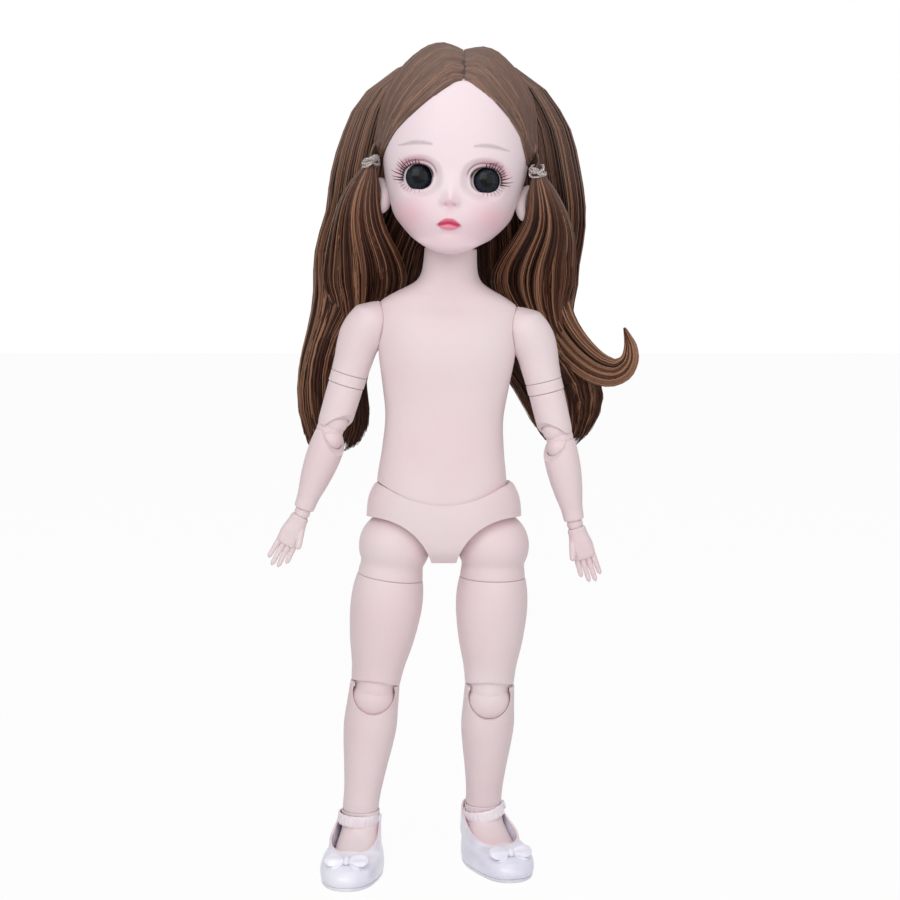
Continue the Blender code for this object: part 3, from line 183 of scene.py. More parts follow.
def loft(rows, steps, around=48, square=2.0, edge=0.3, warp=0.0):
    # a closed skin over level ovals: height, half width, front, back, then how square and a side step
    low, high = rows[0][0], rows[-1][0]
    levels = [tableAt(rows, low + (high - low) * k / steps) for k in range(steps + 1)]
    rolled = [(share, edge * (1 - math.sqrt(1 - (1 - share) ** 2))) for share in (0.0, 0.55, 0.85)]
    rings = [(low + edge * share * 0.999, inset, levels[0]) for share, inset in rolled]
    rings += [(row[0], 0.0, row) for row in levels if low + edge <= row[0] <= high - edge]
    rings += [(high - edge * share * 0.999, inset, levels[-1]) for share, inset in reversed(rolled)]
    shape = bmesh.new()
    bmesh.ops.create_grid(shape, x_segments=around, y_segments=len(rings) - 1, size=0.5)
    for corner in shape.verts:
        height, inset, row = rings[round((corner.co.y + 0.5) * (len(rings) - 1))]
        width, front, back = row[1:4]
        power = 2 / (row[4] if len(row) > 4 else square)
        side = row[5] if len(row) > 5 else 0.0
        share = 2 * (corner.co.x + 0.5) - 1
        angle = math.pi * ((1 - warp) * share + warp * share ** 3)
        across = rounded(math.sin(angle), power)
        along = rounded(math.cos(angle), power)
        deep = (front + back) / 2 - inset
        corner.co = (side + (width - inset) * across, (back - front) / 2 - deep * along, height)
    bmesh.ops.remove_doubles(shape, verts=shape.verts, dist=0.001)
    bmesh.ops.holes_fill(shape, edges=[e for e in shape.edges if e.is_boundary])
    return shape


def ball(radius, around=32, scale=(1, 1, 1), at=(0, 0, 0)):
    shape = bmesh.new()
    bmesh.ops.create_uvsphere(shape, u_segments=around, v_segments=around // 2, radius=radius)
    bmesh.ops.scale(shape, vec=scale, verts=shape.verts)
    bmesh.ops.translate(shape, vec=at, verts=shape.verts)
    return shape


def rod(radius, length, around=32):
    shape = bmesh.new()
    bmesh.ops.create_cone(shape, cap_ends=True, segments=around, radius1=radius, radius2=radius, depth=length)
    return shape


def block(low, high):
    shape = bmesh.new()
    bmesh.ops.create_cube(shape, size=1.0)
    bmesh.ops.scale(shape, vec=[b - a for a, b in zip(low, high)], verts=shape.verts)
    bmesh.ops.translate(shape, vec=[(a + b) / 2 for a, b in zip(low, high)], verts=shape.verts)
    return shape


def arc(radius, start, end, steps):
    angles = [math.radians(start + (end - start) * k / steps) for k in range(steps + 1)]
    return [(radius * math.cos(angle), radius * math.sin(angle)) for angle in angles]


def spun(points, steps, closed=False):
    # a skin spun from its profile of (across, height)
    shape = bmesh.new()
    corners = [shape.verts.new((x, 0, z)) for x, z in points]
    edges = [shape.edges.new(pair) for pair in zip(corners, corners[1:] + (corners[:1] if closed else []))]
    bmesh.ops.spin(shape, geom=corners + edges, angle=2 * math.pi, steps=steps, axis=(0, 0, 1),
                   use_merge=True)
    bmesh.ops.remove_doubles(shape, verts=shape.verts, dist=0.001)
    return shape


def cut(shape, place):
    return (shape, place, "DIFFERENCE")


def carved(name, shape, place, tools):
    # cuts or joins the tools (shape, place, way) and gives back one mesh in place
    body = newObject(name, meshFrom(name, shape, place))
    helpers = []
    for tool, toolPlace, way in tools:
        helpers.append(newObject("tool", meshFrom("tool", tool, toolPlace)))
        change = body.modifiers.new("cut", "BOOLEAN")
        change.solver = "EXACT"
        change.operation = way
        change.object = helpers[-1]
    return baked(name, body, *helpers)


def strandMesh(name, strands, place, sides=0):
    # many thin round strands: each is a list of (point, thickness)
    line = bpy.data.curves.new(name, "CURVE")
    line.dimensions = "3D"
    line.bevel_depth = 1.0
    line.bevel_resolution = sides
    for strand in strands:
        path = line.splines.new("POLY")
        path.points.add(len(strand) - 1)
        path.points.foreach_set("co", [c for point, thick in strand for c in (*point, 1.0)])
        path.points.foreach_set("radius", [thick for point, thick in strand])
    mesh = baked(name, newObject(name, line))
    mesh.transform(place)
    return mesh


# The stage: a white sweep, soft lamps and the camera. Lamps have power, size and place in metres
stage = {
    "distance": 700, "eyeHeight": 232, "aimHeight": 152.9, "aimSide": -0.4, "viewWidth": 326.7, "sensor": 36,
    "world": 0.37, "glow": 0.95, "floor": 3.0, "floorRise": -0.0001, "lampAim": (0, 0, 0.16),
    "lamps": {
        "key lamp": (5.4, 0.8, (-0.35, -1.0, 0.8)), "fill lamp": (3.0, 1.0, (0.5, -1.05, 0.42)),
        "top lamp": (2.6, 0.9, (0.05, -0.25, 1.2)),
    },
}


def seenDirectly(tree):
    # 1 for what the camera, a reflection or clear plastic looks at, 0 for what only lights the doll
    rays = addNode(tree, "LightPath", {}).outputs
    some = addNode(tree, "Math", {0: rays["Is Camera Ray"], 1: rays["Is Glossy Ray"]}, operation="MAXIMUM")
    every = addNode(tree, "Math", {0: some.outputs[0], 1: rays["Is Transmission Ray"]}, operation="MAXIMUM")
    return every.outputs[0]


def aimAt(thing, place, target):
    thing.location = place
    thing.rotation_mode = "QUATERNION"
    thing.rotation_quaternion = (Vector(target) - thing.location).to_track_quat("-Z", "Y")


def buildStage():
    scene = bpy.context.scene
    scene.world = bpy.data.worlds.new("white room")
    scene.world.use_nodes = True
    tree = scene.world.node_tree
    level = addNode(tree, "MapRange", {"Value": seenDirectly(tree), "To Min": stage["world"], "To Max": 1.0})
    plug(tree, tree.nodes["Background"], {"Strength": level.outputs[0], "Color": (1, 1, 1, 1)})

    shape = bmesh.new()
    bmesh.ops.create_grid(shape, x_segments=1, y_segments=1, size=stage["floor"])
    floor = newObject("floor", meshFrom("floor", shape, moved(0, 0, stage["floorRise"]), False))
    paper, tree, shader = newMaterial("white paper", {"Base Color": (0.9, 0.9, 0.9, 1), "Roughness": 0.9})
    white = addNode(tree, "Emission", {"Color": (1, 1, 1, 1), "Strength": 1.0})
    soft = addNode(tree, "MixShader", {0: stage["glow"], 1: shader.outputs[0], 2: white.outputs[0]})
    both = addNode(tree, "MixShader", {0: seenDirectly(tree), 1: shader.outputs[0], 2: soft.outputs[0]})
    plug(tree, tree.nodes["Material Output"], {"Surface": both.outputs[0]})
    floor.data.materials.append(paper)

    for name, (power, size, spot) in stage["lamps"].items():
        light = bpy.data.lights.new(name, "AREA")
        light.energy = power
        light.size = size
        aimAt(newObject(name, light), spot, stage["lampAim"])

    eye = Vector((stage["aimSide"], -stage["distance"], stage["eyeHeight"])) / 1000
    aim = Vector((stage["aimSide"], 0, stage["aimHeight"])) / 1000
    lens = bpy.data.cameras.new("camera")
    lens.sensor_width = stage["sensor"]
    lens.lens = stage["sensor"] * (aim - eye).length * 1000 / stage["viewWidth"]
    scene.camera = newObject("camera", lens)
    aimAt(scene.camera, eye, aim)
    scene.view_settings.view_transform = "Standard"


buildStage()
print("stage done")


# Satin vinyl, cast in a mould: soft even sheen, and light that goes a little way in
satinVinyl = {
    "Roughness": 0.46, "IOR": 1.46, "Subsurface Weight": 0.12, "Subsurface Scale": 0.002,
    "Subsurface Radius": (1.0, 0.45, 0.3), "Specular IOR Level": 0.35,
}


def vinylSkin(name, colour, rosy):
    # a faint rose tone drifts over some 40 mm, and the grain of half a millimetre hardly shows
    made, tree, shader = newMaterial(name, satinVinyl)
    where = addNode(tree, "TexCoord", {}).outputs["Object"]
    drift = addNode(tree, "TexNoise", {"Vector": where, "Scale": 22.0, "Detail": 2.0})
    tone = addNode(tree, "ValToRGB", {"Fac": drift.outputs["Fac"]}, [(0.36, colour), (0.66, rosy)])
    grain = addNode(tree, "TexNoise", {"Vector": where, "Scale": 2200.0, "Detail": 1.0})
    bump = addNode(tree, "Bump", {"Height": grain.outputs["Fac"], "Strength": 0.04, "Distance": 0.0001})
    plug(tree, shader, {"Base Color": tone.outputs["Color"], "Normal": bump.outputs["Normal"]})
    return made


skin = vinylSkin("vinylSkin", "#EBDADC", "#E7D1D4")
innerPlastic = vinylSkin("innerPlastic", "#DCC8C8", "#D4BCBD")


def sidePiece(name, mesh, sideName, body, node, sharp=32, material=skin):
    # a finished piece of one side, in place of the node of the same side
    tail = "_" + sideName
    replaced = (node + tail,) if node else ()
    finishPiece(name + sideName.title(), mesh, material, body + tail, replaced, sharp)


# The head, in millimetres from the middle of the neck ball
headPlace = inPlace(jointAt["neck_nod"], turn("Y", 3.1), turn("Z", -2.5))
head = {
    "square": 2.3, "around": 288, "steps": 190, "edge": 0.05, "warp": 0.55,
    "eyeOut": 11.7, "eyeRise": 22.5, "eyeFront": 14.0, "eyeRadius": 7.2,
    "openWide": 5.05, "openUp": 4.3, "openDown": 4.05, "openSquare": 2.25, "lidThick": 0.75, "lidDeep": 2.6,
    "wellDeep": 1.6, "nose": 15.2, "mouth": 6.4, "chin": 0.0, "lipWide": 4.4, "lowerLipWide": 3.7,
}
headTable = [
    (-3.3, 1.2, 19.0, -16.2), (-3.0, 3.6, 20.0, -15.1), (-1.88, 6.95, 21.8, -12.2), (0.14, 10.6, 22.6, -10.4),
    (2.57, 14.5, 23.2, 11.9), (8.7, 20.2, 24.3, 22.1), (13.5, 22.15, 24.7, 25.1), (23.3, 24.9, 25.2, 28.1),
    (30.1, 25.75, 25.4, 29.0), (40.0, 25.4, 25.0, 29.0), (49.8, 23.2, 23.0, 27.5), (57.3, 19.3, 18.8, 24.0),
    (62.9, 14.0, 13.5, 18.0), (66.2, 7.7, 7.8, 10.8), (67.4, 2.8, 3.0, 4.6),
]
hairlineTable = [
    (0.0, 56.4), (2.5, 55.8), (5.0, 54.1), (10.3, 49.9), (16.6, 43.9), (21.4, 38.1), (24.3, 32.1),
    (25.3, 29.0),
]
mounds = [   # how far each stands out, place and reach across, what it is near, rise and reach there
    (0.8, 2.4, 1.2, "nose", -0.8, 1.4), (-0.9, 1.45, 0.75, "nose", -1.8, 0.6),
    (-0.35, 0, 0.8, "nose", -4.2, 1.2), (0.7, 11.5, 8.0, "mouth", 3.4, 5.5), (0.9, 0, 5.0, "chin", 0.0, 3.0),
    (1.0, 0, 5.5, "mouth", 0.6, 3.6), (-0.45, 0, 3.6, "mouth", -2.7, 0.9),
]
paint = {name: linear(code) for name, code in {
    "base": "#F3E4E9", "lowFaceShade": "#E8CCD2", "blush": "#EB9BAC", "shade": "#DD93A8", "brow": "#9C8C90",
    "liner": "#24141A", "crease": "#8C4658", "scalp": "#46302A", "upperLip": "#D8557A", "lowerLip": "#EB86A0",
    "mouth": "#B8124A",
}.items()}
brow = {"start": 7.0, "long": 12.4, "rise": 11.3, "bend": 0.5, "drop": 0.7}


def eyeShare(x, z):
    # below 1 inside the eye's opening, with a rounder top than bottom
    up, power = z - head["eyeRise"], head["openSquare"]
    high = head["openUp"] if up > 0 else head["openDown"]
    wide = abs(abs(x) - head["eyeOut"]) / head["openWide"]
    return (wide ** power + (abs(up) / high) ** power) ** (1 / power)


def lipHeights(x):
    # the top, the bottom and the line where the lips meet, which rises in the middle
    upper = max(0.0, 1 - (abs(x) / head["lipWide"]) ** 1.5)
    lower = max(0.0, 1 - (abs(x) / head["lowerLipWide"]) ** 2.2)
    top = head["mouth"] + 2.8 * upper ** 0.85 - 0.35 * bell(x, 0, 0.8)
    return top, head["mouth"] - 1.5 * lower ** 0.8, head["mouth"] + 0.75 * bell(x, 0, 2.3)


def lidDepth(radius, away):
    return -head["eyeFront"] - math.sqrt(max(1.0, radius ** 2 - away ** 2))


def sculpted(x, y, z):
    # how the front of the head is modelled: nose, mounds, lips, sockets, lids and the eyes' wells
    wide, nose = abs(x), head["nose"]
    front = smooth(-4, -12, y)
    push = 0.8 * bell(wide, 0, 2.4) * smooth(nose + 11.5, nose + 3.5, z) * smooth(nose - 3, nose + 1.5, z)
    push += 2.3 * math.exp(-(x / 2.2) ** 2 - ((z - nose) / (3.0 if z > nose else 1.6)) ** 2)
    for high, out, outReach, part, up, upReach in mounds:
        push += high * bell(wide, out, outReach) * bell(z, head[part] + up, upReach)
    top, bottom, middle = lipHeights(x)
    if wide < head["lipWide"] and bottom - 0.3 < z < top + 0.3:
        upper = z > middle
        share = abs(z - middle) / max(0.4, top - middle if upper else middle - bottom)
        if share < 1:
            full = max(0.0, 1 - (2 * share - (0.9 if upper else 1.0)) ** 2)
            push += (0.65 if upper else 0.85) * math.sqrt(full)
    push -= 0.25 * bell(wide, head["eyeOut"], 9.0) * bell(z, head["eyeRise"] + 1.5, 6.5)
    y -= front * push
    if front > 0 and wide > 2:
        share = eyeShare(x, z)
        away = math.hypot(wide - head["eyeOut"], z - head["eyeRise"])
        lid = min(lidDepth(head["eyeRadius"] + head["lidThick"], min(away, 7.0)), y + head["lidDeep"])
        y = y + (lid - y) * smooth(1.85, 1.1, share)
        y += 0.25 * bell(eyeShare(x, z - 0.4), 1.27, 0.05) * smooth(0.5, 3.0, z - head["eyeRise"])
        well = lidDepth(head["eyeRadius"] - head["wellDeep"], min(away, 5.4))
        y = y + (well - y) * smooth(1.05, 0.93, share)
    return y


def partingAt(z):
    # the parting leans to the doll's left where it meets the brow
    return 2.1 * smooth(27, 49, z)


def headFront(x, z):
    # how far back the plain front of the head lies
    wide, near, far = tableAt(headTable, z)[1:4]
    reach = max(0.0, 1 - (abs(x) / wide) ** head["square"]) ** (1 / head["square"])
    return (far - near) / 2 - (near + far) / 2 * reach


def hairlineAt(x, z):
    wide = abs(x - partingAt(z))
    for (x0, z0), (x1, z1) in zip(hairlineTable, hairlineTable[1:]):
        if wide < x1:
            return z0 + (z1 - z0) * max(0.0, wide - x0) / (x1 - x0)
    return hairlineTable[-1][1]


def facePaint(x, y, z):
    # the maker's paint by hand, with painted shade on the lower face and in the nostrils: (colour, gloss)
    wide, nose, mouth = abs(x), head["nose"], head["mouth"]
    front = smooth(-3, -12, y)
    share, up = eyeShare(x, z), z - head["eyeRise"]
    liner = smooth(1.2, 1.04, share) * smooth(-1.5, 1.0, up + 0.10 * (wide - head["eyeOut"]))
    # painted shade: the colour darkens towards the chin, as the lower face lies in shade
    colour = mixed(paint["base"], paint["lowFaceShade"], 0.25 + 0.6 * smooth(21, 1, z))
    for name, cover in (
        ("blush", 0.36 * bell(wide, 14.5, 6.0) * bell(z, mouth + 3.6, 4.6)),
        ("blush", 0.22 * bell(wide, 0, 2.6) * bell(z, nose - 0.6, 2.4)),
        ("shade", 0.55 * bell(share, 1.32, 0.36) * (0.3 + 0.7 * smooth(-2.5, 3.5, up)) * smooth(5, 13, wide)),
        ("crease", 0.85 * bell(eyeShare(x, z - 0.4), 1.28, 0.05) * smooth(0.3, 3.0, up)),
        ("liner", 0.93 * max(liner, 0.5 * smooth(1.08, 1.0, share))),
    ):
        colour = mixed(colour, paint[name], cover * front)
    along = (wide - brow["start"]) / brow["long"]
    if 0 < along < 1:
        arch = brow["bend"] * math.sin(math.pi * min(1, along * 1.2)) - brow["drop"] * along ** 3
        thick = 0.74 * math.sin(math.pi * min(1.0, 0.1 + along * 0.9)) + 0.1
        hair = 0.75 + 0.25 * noise.noise(Vector((x * 2.2 - z * 1.6, z * 0.5, 3.0)))
        away = abs(up - brow["rise"] - arch) / thick
        colour = mixed(colour, paint["brow"], 0.66 * hair * smooth(1.4, 0.2, away))
    gloss = 0.0
    top, bottom, middle = lipHeights(x)
    if wide < head["lipWide"] + 0.2 and bottom - 0.4 < z < top + 0.4:
        inside = smooth(-0.35, 0.3, top - z) * smooth(-0.35, 0.35, z - bottom) * smooth(4.5, 4.0, wide)
        lip = paint["lowerLip"]
        if z > middle:
            lip = mixed(paint["upperLip"], paint["mouth"], smooth(1.5, 0.0, z - middle))
        lip = mixed(lip, paint["mouth"], smooth(0.85, 0.25, abs(z - middle - 0.2)) * smooth(4.4, 3.2, wide))
        colour = mixed(colour, lip, 0.95 * inside * front)
        gloss = inside * front
    # painted shade in the nostrils, in the pink of the eye shadow
    nostril = bell(wide, 1.45, 0.6) * bell(z, nose - 1.5, 0.45)
    colour = mixed(colour, paint["shade"], 0.6 * nostril * front)
    under = smooth(-0.1, 0.5, z - hairlineAt(x, z)) if y < 0 else smooth(18, 22, z)
    return mixed(colour, paint["scalp"], under), gloss * (1 - under)


def paintedVinyl():
    # Sprayed and hand painted vinyl: matt skin, with a lacquered shine on the lips only
    made, tree, shader = newMaterial("paintedVinyl", satinVinyl)
    tone = addNode(tree, "Attribute", {}, attribute_name="paint")
    shine = addNode(tree, "MapRange", {"Value": tone.outputs["Alpha"], "To Min": 0.46, "To Max": 0.2})
    plug(tree, shader, {"Base Color": tone.outputs["Color"], "Roughness": shine.outputs[0]})
    return made


def buildHead():
    shape = loft(headTable, head["steps"], head["around"], head["square"], head["edge"], head["warp"])
    for corner in shape.verts:
        x, y, z = corner.co
        if y < -3 and -3.2 < z < 45:
            corner.co.y = sculpted(x, y, z)
    mesh = meshFrom("faceShell", shape)
    values = []
    for corner in mesh.vertices:
        colour, gloss = facePaint(*corner.co)
        values += [*colour, gloss]
    mesh.color_attributes.new("paint", "FLOAT_COLOR", "POINT").data.foreach_set("color", values)
    mesh.transform(headPlace)
    finishPiece("faceShell", mesh, paintedVinyl(), "head", ("face_shell", "head_cap"))
    print("face done,", len(mesh.polygons), "faces")


buildHead()


# Eyes: clear acrylic domes over a dark navy iris
iris = {"radius": 4.5, "rim": 4.7, "bulge": 0.35, "white": "#EFE3E6"}
lash = {
    "count": 19, "thick": 0.24, "long": 4.2, "short": 1.5, "start": -14, "sweep": 172,
    "lowerCount": 10, "lowerThick": 0.085, "lowerLong": 1.9, "lowerStart": -22, "lowerSweep": -110,
}
ear = {"radius": 6.2, "thin": 0.55, "deep": 0.645, "place": (25.6, 0.9, 15.6), "turn": 33, "lean": 8}


def eyeAcrylic(sign):
    made, tree, shader = newMaterial("eyeAcrylic", {
        "Roughness": 0.2, "IOR": 1.49, "Coat Weight": 0.12, "Coat Roughness": 0.05,
        "Specular IOR Level": 0.12,
    })
    where = addNode(tree, "TexCoord", {})
    middle = headPlace @ Vector((sign * head["eyeOut"], -head["eyeFront"], head["eyeRise"]))
    away = addNode(tree, "VectorMath", {0: where.outputs["Object"], 1: middle}, operation="SUBTRACT")
    flat = addNode(tree, "VectorMath", {0: away.outputs[0], 1: (1000, 0, 1000)}, operation="MULTIPLY")
    radius = addNode(tree, "VectorMath", {0: flat.outputs[0]}, operation="LENGTH").outputs["Value"]
    unit = addNode(tree, "VectorMath", {0: flat.outputs[0]}, operation="NORMALIZE")
    rays = addNode(tree, "TexNoise", {
        "Vector": unit.outputs[0], "Scale": 9.0, "Detail": 4.0, "Roughness": 0.7,
    })
    fibres = addNode(tree, "ValToRGB", {"Fac": rays.outputs["Fac"]},
                     [(0.35, "#08090F"), (0.52, "#141823"), (0.68, "#343D50")])
    zones = addNode(tree, "MapRange", {"Value": radius, "From Max": head["eyeRadius"]})
    band = addNode(tree, "ValToRGB", {"Fac": zones.outputs[0]}, [
        (0.0, "#05060C"), (0.26, "#0A0C16"), (0.36, "#FFFFFF"), (0.55, "#C8C8C8"), (0.585, "#1A141A"),
        (0.62, "#120C10"),
    ])
    dark = addNode(tree, "Mix", {0: 1.0, 6: fibres.outputs["Color"], 7: band.outputs["Color"]},
                   data_type="RGBA", blend_type="MULTIPLY")
    rim = addNode(tree, "MapRange", {"Value": radius, "From Min": iris["radius"], "From Max": iris["rim"]})
    both = addNode(tree, "Mix", {0: rim.outputs[0], 6: dark.outputs[2], 7: (*linear(iris["white"]), 1)},
                   data_type="RGBA")
    plug(tree, shader, {"Base Color": both.outputs[2]})
    return made


def lidPoint(sign, angle, out):
    # a point on the edge of the eye's opening; the angle runs from the outer corner over the top
    power = 2 / head["openSquare"]
    across = rounded(math.cos(angle), power) * (head["openWide"] + out)
    high = head["openUp"] if math.sin(angle) > 0 else head["openDown"]
    up = rounded(math.sin(angle), power) * (high + out)
    depth = lidDepth(head["eyeRadius"] + head["lidThick"], min(7.0, math.hypot(across, up)))
    return Vector((sign * (head["eyeOut"] + across), depth, head["eyeRise"] + up))


def buildEyes():
    # nylon lashes, dark plum brown, too thin to shine
    lashFibre = newMaterial("lashFibre", {"Base Color": (*linear("#30141B"), 1), "Roughness": 0.5})[0]
    for sideName, sign in sides.items():
        title = sideName.title()
        middle = Vector((sign * head["eyeOut"], -head["eyeFront"], head["eyeRise"]))
        shape = ball(head["eyeRadius"], 64)
        bmesh.ops.rotate(shape, matrix=Matrix.Rotation(math.radians(90), 3, "X"), verts=shape.verts)
        bmesh.ops.translate(shape, vec=middle, verts=shape.verts)
        for corner in shape.verts:
            x, y, z = corner.co - middle
            if y < 0:
                corner.co.y -= iris["bulge"] * smooth(5.2, 3.6, math.hypot(x, z))
        mesh = meshFrom("eye", shape, headPlace)
        finishPiece("eyeball" + title, mesh, eyeAcrylic(sign), "head", ("eye_" + sideName,))

        strands = []
        for k in range(lash["count"]):
            share = k / (lash["count"] - 1)
            angle = math.radians(lash["start"] + lash["sweep"] * share)
            root = lidPoint(sign, angle, 0.15)
            size = lash["short"] + (lash["long"] - lash["short"]) * (1 - share) ** 1.8
            size *= 0.7 + 0.6 * dice.random()
            lean = angle * 0.88 + math.radians(4) + 0.2 * (dice.random() - 0.5)
            way = Vector((sign * math.cos(lean), -0.5, math.sin(lean)))
            thick = lash["thick"] * (1.3 - 0.5 * share)
            strand = []
            for t in (0.0, 0.2, 0.4, 0.6, 0.8, 1.0):
                lift = Vector((0, 0.385 * size * t * t, 0.16 * size * t * t))
                strand.append((root + way * size * t + lift, thick * (1 - 0.85 * t)))
            strands.append(strand)
        for k in range(lash["lowerCount"]):
            share = k / (lash["lowerCount"] - 1)
            angle = math.radians(lash["lowerStart"] + lash["lowerSweep"] * share)
            root = lidPoint(sign, angle, 0.3)
            size = lash["lowerLong"] - 0.9 * share
            way = Vector((sign * math.cos(angle) * 1.05, -0.25, math.sin(angle)))
            strands.append([(root + way * size * k / 3, lash["lowerThick"] * (1 - 0.25 * k))
                            for k in range(4)])
        finishPiece("lashes" + title, strandMesh("lashes", strands, headPlace), lashFibre, "head")

        shape = ball(ear["radius"], 40, (ear["thin"], ear["deep"], 1.0))
        for corner in shape.verts:
            x, y, z = corner.co
            outward = x * sign
            if outward > 0:
                corner.co.x -= sign * 2.0 * bell(math.hypot(y / 4.0, z / ear["radius"]), 0.42, 0.3)
            corner.co.y += 0.10 * abs(z) + 0.5 * smooth(0, 2.5, outward)
            corner.co.z += 0.6 if z > 0 else 0
        out, back, up = ear["place"]
        place = headPlace @ moved(sign * out, back, up)
        place = place @ turn("Z", -sign * ear["turn"]) @ turn("X", -ear["lean"])
        finishPiece("ear" + title, meshFrom("ear", shape, place), skin, "head")
    print("eyes done")


buildEyes()


# The wig: every mass of hair is a dark core, painted shade for its shadowed inside, with strands over it,
# drawn round the middle of the neck
hairPlace = inPlace((0, jointAt["neck_nod"].y, jointAt["neck_nod"].z))
headToHair = hairPlace.inverted() @ headPlace
wig = {
    "strand": 0.25, "points": 26, "longPoints": 22, "wave": 1.5, "waveLength": 58.0,
    "locks": 21, "bunchLocks": 13, "bunch": 820, "curl": 420,
    "scalp": (25.75, 27.3, 37.4), "crown": (0.2, 12, 66.6), "top": 67,
}
elastic = {"out": 29.3, "front": 8.0, "rise": 26.9, "radius": 2.5, "thick": 0.42}
massTable = {   # height: inner edge, outer edge, front and back of the hair on each side
    "right": [
        (67.6, 4, -9, 6, 22), (61.2, 4, -22, 3.2, 32), (54.2, 4, -31.8, 2.6, 38), (47.0, 4, -36.6, 2.2, 40.4),
        (39.8, 4, -39.6, 2.2, 41.3), (32.3, 4, -42.0, 2.6, 41), (24.8, 4, -44.7, 3.6, 40),
        (17.4, 3, -45.6, 5.4, 39), (9.9, 1, -47.4, 8.6, 37.5), (2.4, -3, -49.8, 12.0, 35.5),
        (-5.1, -5, -50.6, 14, 33), (-12.5, -6, -50.0, 14.4, 31), (-20.0, -10, -50.3, 14.4, 30),
        (-27.5, -20, -51.9, 14.4, 29), (-35.0, -28, -54.6, 14.4, 28.5), (-42.4, -31, -57.0, 14.4, 28),
        (-49.9, -32, -58.0, 14.4, 27), (-57.3, -30, -57.8, 14.6, 26), (-63.5, -28.8, -56.4, 15.2, 25),
        (-69.0, -29.6, -54.8, 15.6, 24), (-74.0, -32.6, -52.6, 16, 23), (-78.0, -38.5, -48.0, 16.4, 22.5),
    ],
    "left": [
        (67.6, 0, 13, 6, 22), (61.2, -2, 27, 3.2, 32), (54.2, -2, 35.0, 2.6, 38), (47.0, -2, 40.6, 2.2, 40.4),
        (39.8, -2, 44.3, 2.2, 41.3), (32.3, -2, 46.1, 2.6, 41), (24.8, -2, 47.5, 3.6, 40),
        (17.4, -1, 48.0, 5.4, 39), (9.9, 1, 48.6, 8.6, 37.5), (2.4, 4, 48.6, 12.0, 35.5),
        (-5.1, 5, 48.0, 14, 33), (-12.5, 6, 48.4, 14.4, 31), (-20.0, 8, 47.0, 14.4, 30),
        (-27.5, 9, 45.0, 14.4, 29), (-35.0, 11, 45.4, 14.4, 28.5), (-42.4, 14, 51.0, 14.4, 28),
        (-49.9, 20, 54.8, 14.4, 27), (-57.3, 25, 56.8, 14.6, 26), (-64.0, 29, 55.4, 15.2, 25),
        (-69.5, 33, 52.8, 15.8, 24), (-75.0, 38.0, 47.0, 16.4, 23),
    ],
}
bunchTable = [   # the same, from the elastic down, for a bunch on the doll's left
    (27.0, 28.0, 30.6, -9.0, -6.4), (24.4, 27.2, 33.0, -9.8, -2.5), (20.0, 26.6, 36.6, -9.8, 2.4),
    (13.0, 26.0, 40.5, -8.6, 6.6), (6.0, 24.0, 43.0, -6.0, 10.0), (0.0, 20.5, 44.6, -2.6, 13.0),
    (-7.0, 16.5, 45.6, 3.0, 16.0), (-14.0, 15.0, 46.0, 8.6, 19.0), (-22.0, 19.0, 43.6, 12.6, 22.0),
    (-32.0, 26.0, 43.0, 14.0, 24.0), (-44.0, 30.0, 50.6, 14.6, 25.0), (-58.0, 32.0, 54.0, 15.4, 24.0),
    (-66.0, 34.0, 52.0, 16.0, 23.0),
]


def wigFibre(name, dark, middle, light, crown):
    # Heat resistant wig fibre, drawn: fine glossy strands whose brown shifts from one to the next, paler
    # towards the crown as a painted highlight
    made, tree, shader = newMaterial(name, {"Roughness": 0.42, "IOR": 1.55, "Specular IOR Level": 0.2})
    tone = addNode(tree, "Attribute", {}, attribute_name="tone")
    colour = addNode(tree, "ValToRGB", {"Fac": tone.outputs["Fac"]},
                     [(0.05, dark), (0.5, middle), (0.95, light)])
    where = addNode(tree, "TexCoord", {})
    height = addNode(tree, "SeparateXYZ", {"Vector": where.outputs["Object"]})
    # painted highlight: above this height the fibre fades to a paler grey brown, as if lit from above
    high = addNode(tree, "MapRange", {
        "Value": height.outputs["Z"], "From Min": 0.235, "From Max": 0.29, "To Max": 0.6,
    })
    crownHighlight = addNode(tree, "Mix", {0: high.outputs[0], 6: colour.outputs["Color"], 7: (*linear(crown), 1)},
                    data_type="RGBA")
    plug(tree, shader, {"Base Color": crownHighlight.outputs[2]})
    return made


# the last colour of each fibre is its painted highlight on the crown
fibre = wigFibre("wigFibre", "#1C0B06", "#4C2818", "#A0755B", "#8F766B")
# a near black copy of the same fibre: painted shade for the hair's shadowed inside, its under layers and
# cores
shadedFibre = wigFibre("wigFibrePaintedShade", "#080303", "#160A07", "#2C1911", "#4C3A31")


def throughPoints(points, count):
    # a smooth line through the points, with evenly shared steps
    result = []
    last = len(points) - 1
    for k in range(count):
        place = last * k / (count - 1)
        i = min(last - 1, int(place))
        t = place - i
        p0, p1, p2, p3 = points[max(0, i - 1)], points[i], points[i + 1], points[min(last, i + 2)]
        result.append(0.5 * (2 * p1 + (p2 - p0) * t + (2 * p0 - 5 * p1 + 4 * p2 - p3) * t * t
                             + (3 * p1 - p0 - 3 * p2 + p3) * t ** 3))
    return result


def tapered(points, thick):
    strand = []
    for k, point in enumerate(points):
        t = k / (len(points) - 1)
        strand.append((point, thick * min(0.75 + 2.5 * t, 1.0) * (1 - 0.8 * smooth(0.82, 1.0, t))))
    return strand


def streak(share, seed):
    # neighbouring strands share a tone, with a few that stand out
    slow = noise.noise(Vector((share * 23.0, seed, 0.0)))
    slow += 0.6 * noise.noise(Vector((share * 61.0, seed, 4.0)))
    return 0.5 + 0.62 * slow + dice.gauss(0, 0.22)


def hairPiece(name, strands, tones, material, replaced=()):
    mesh = strandMesh(name, strands, hairPlace)
    each = len(mesh.vertices) // len(strands)
    values = []
    for own in tones:
        values += [min(1.0, max(0.0, own))] * each
    mesh.attributes.new("tone", "FLOAT", "POINT").data.foreach_set("value", values)
    finishPiece(name, mesh, material, "head", replaced)


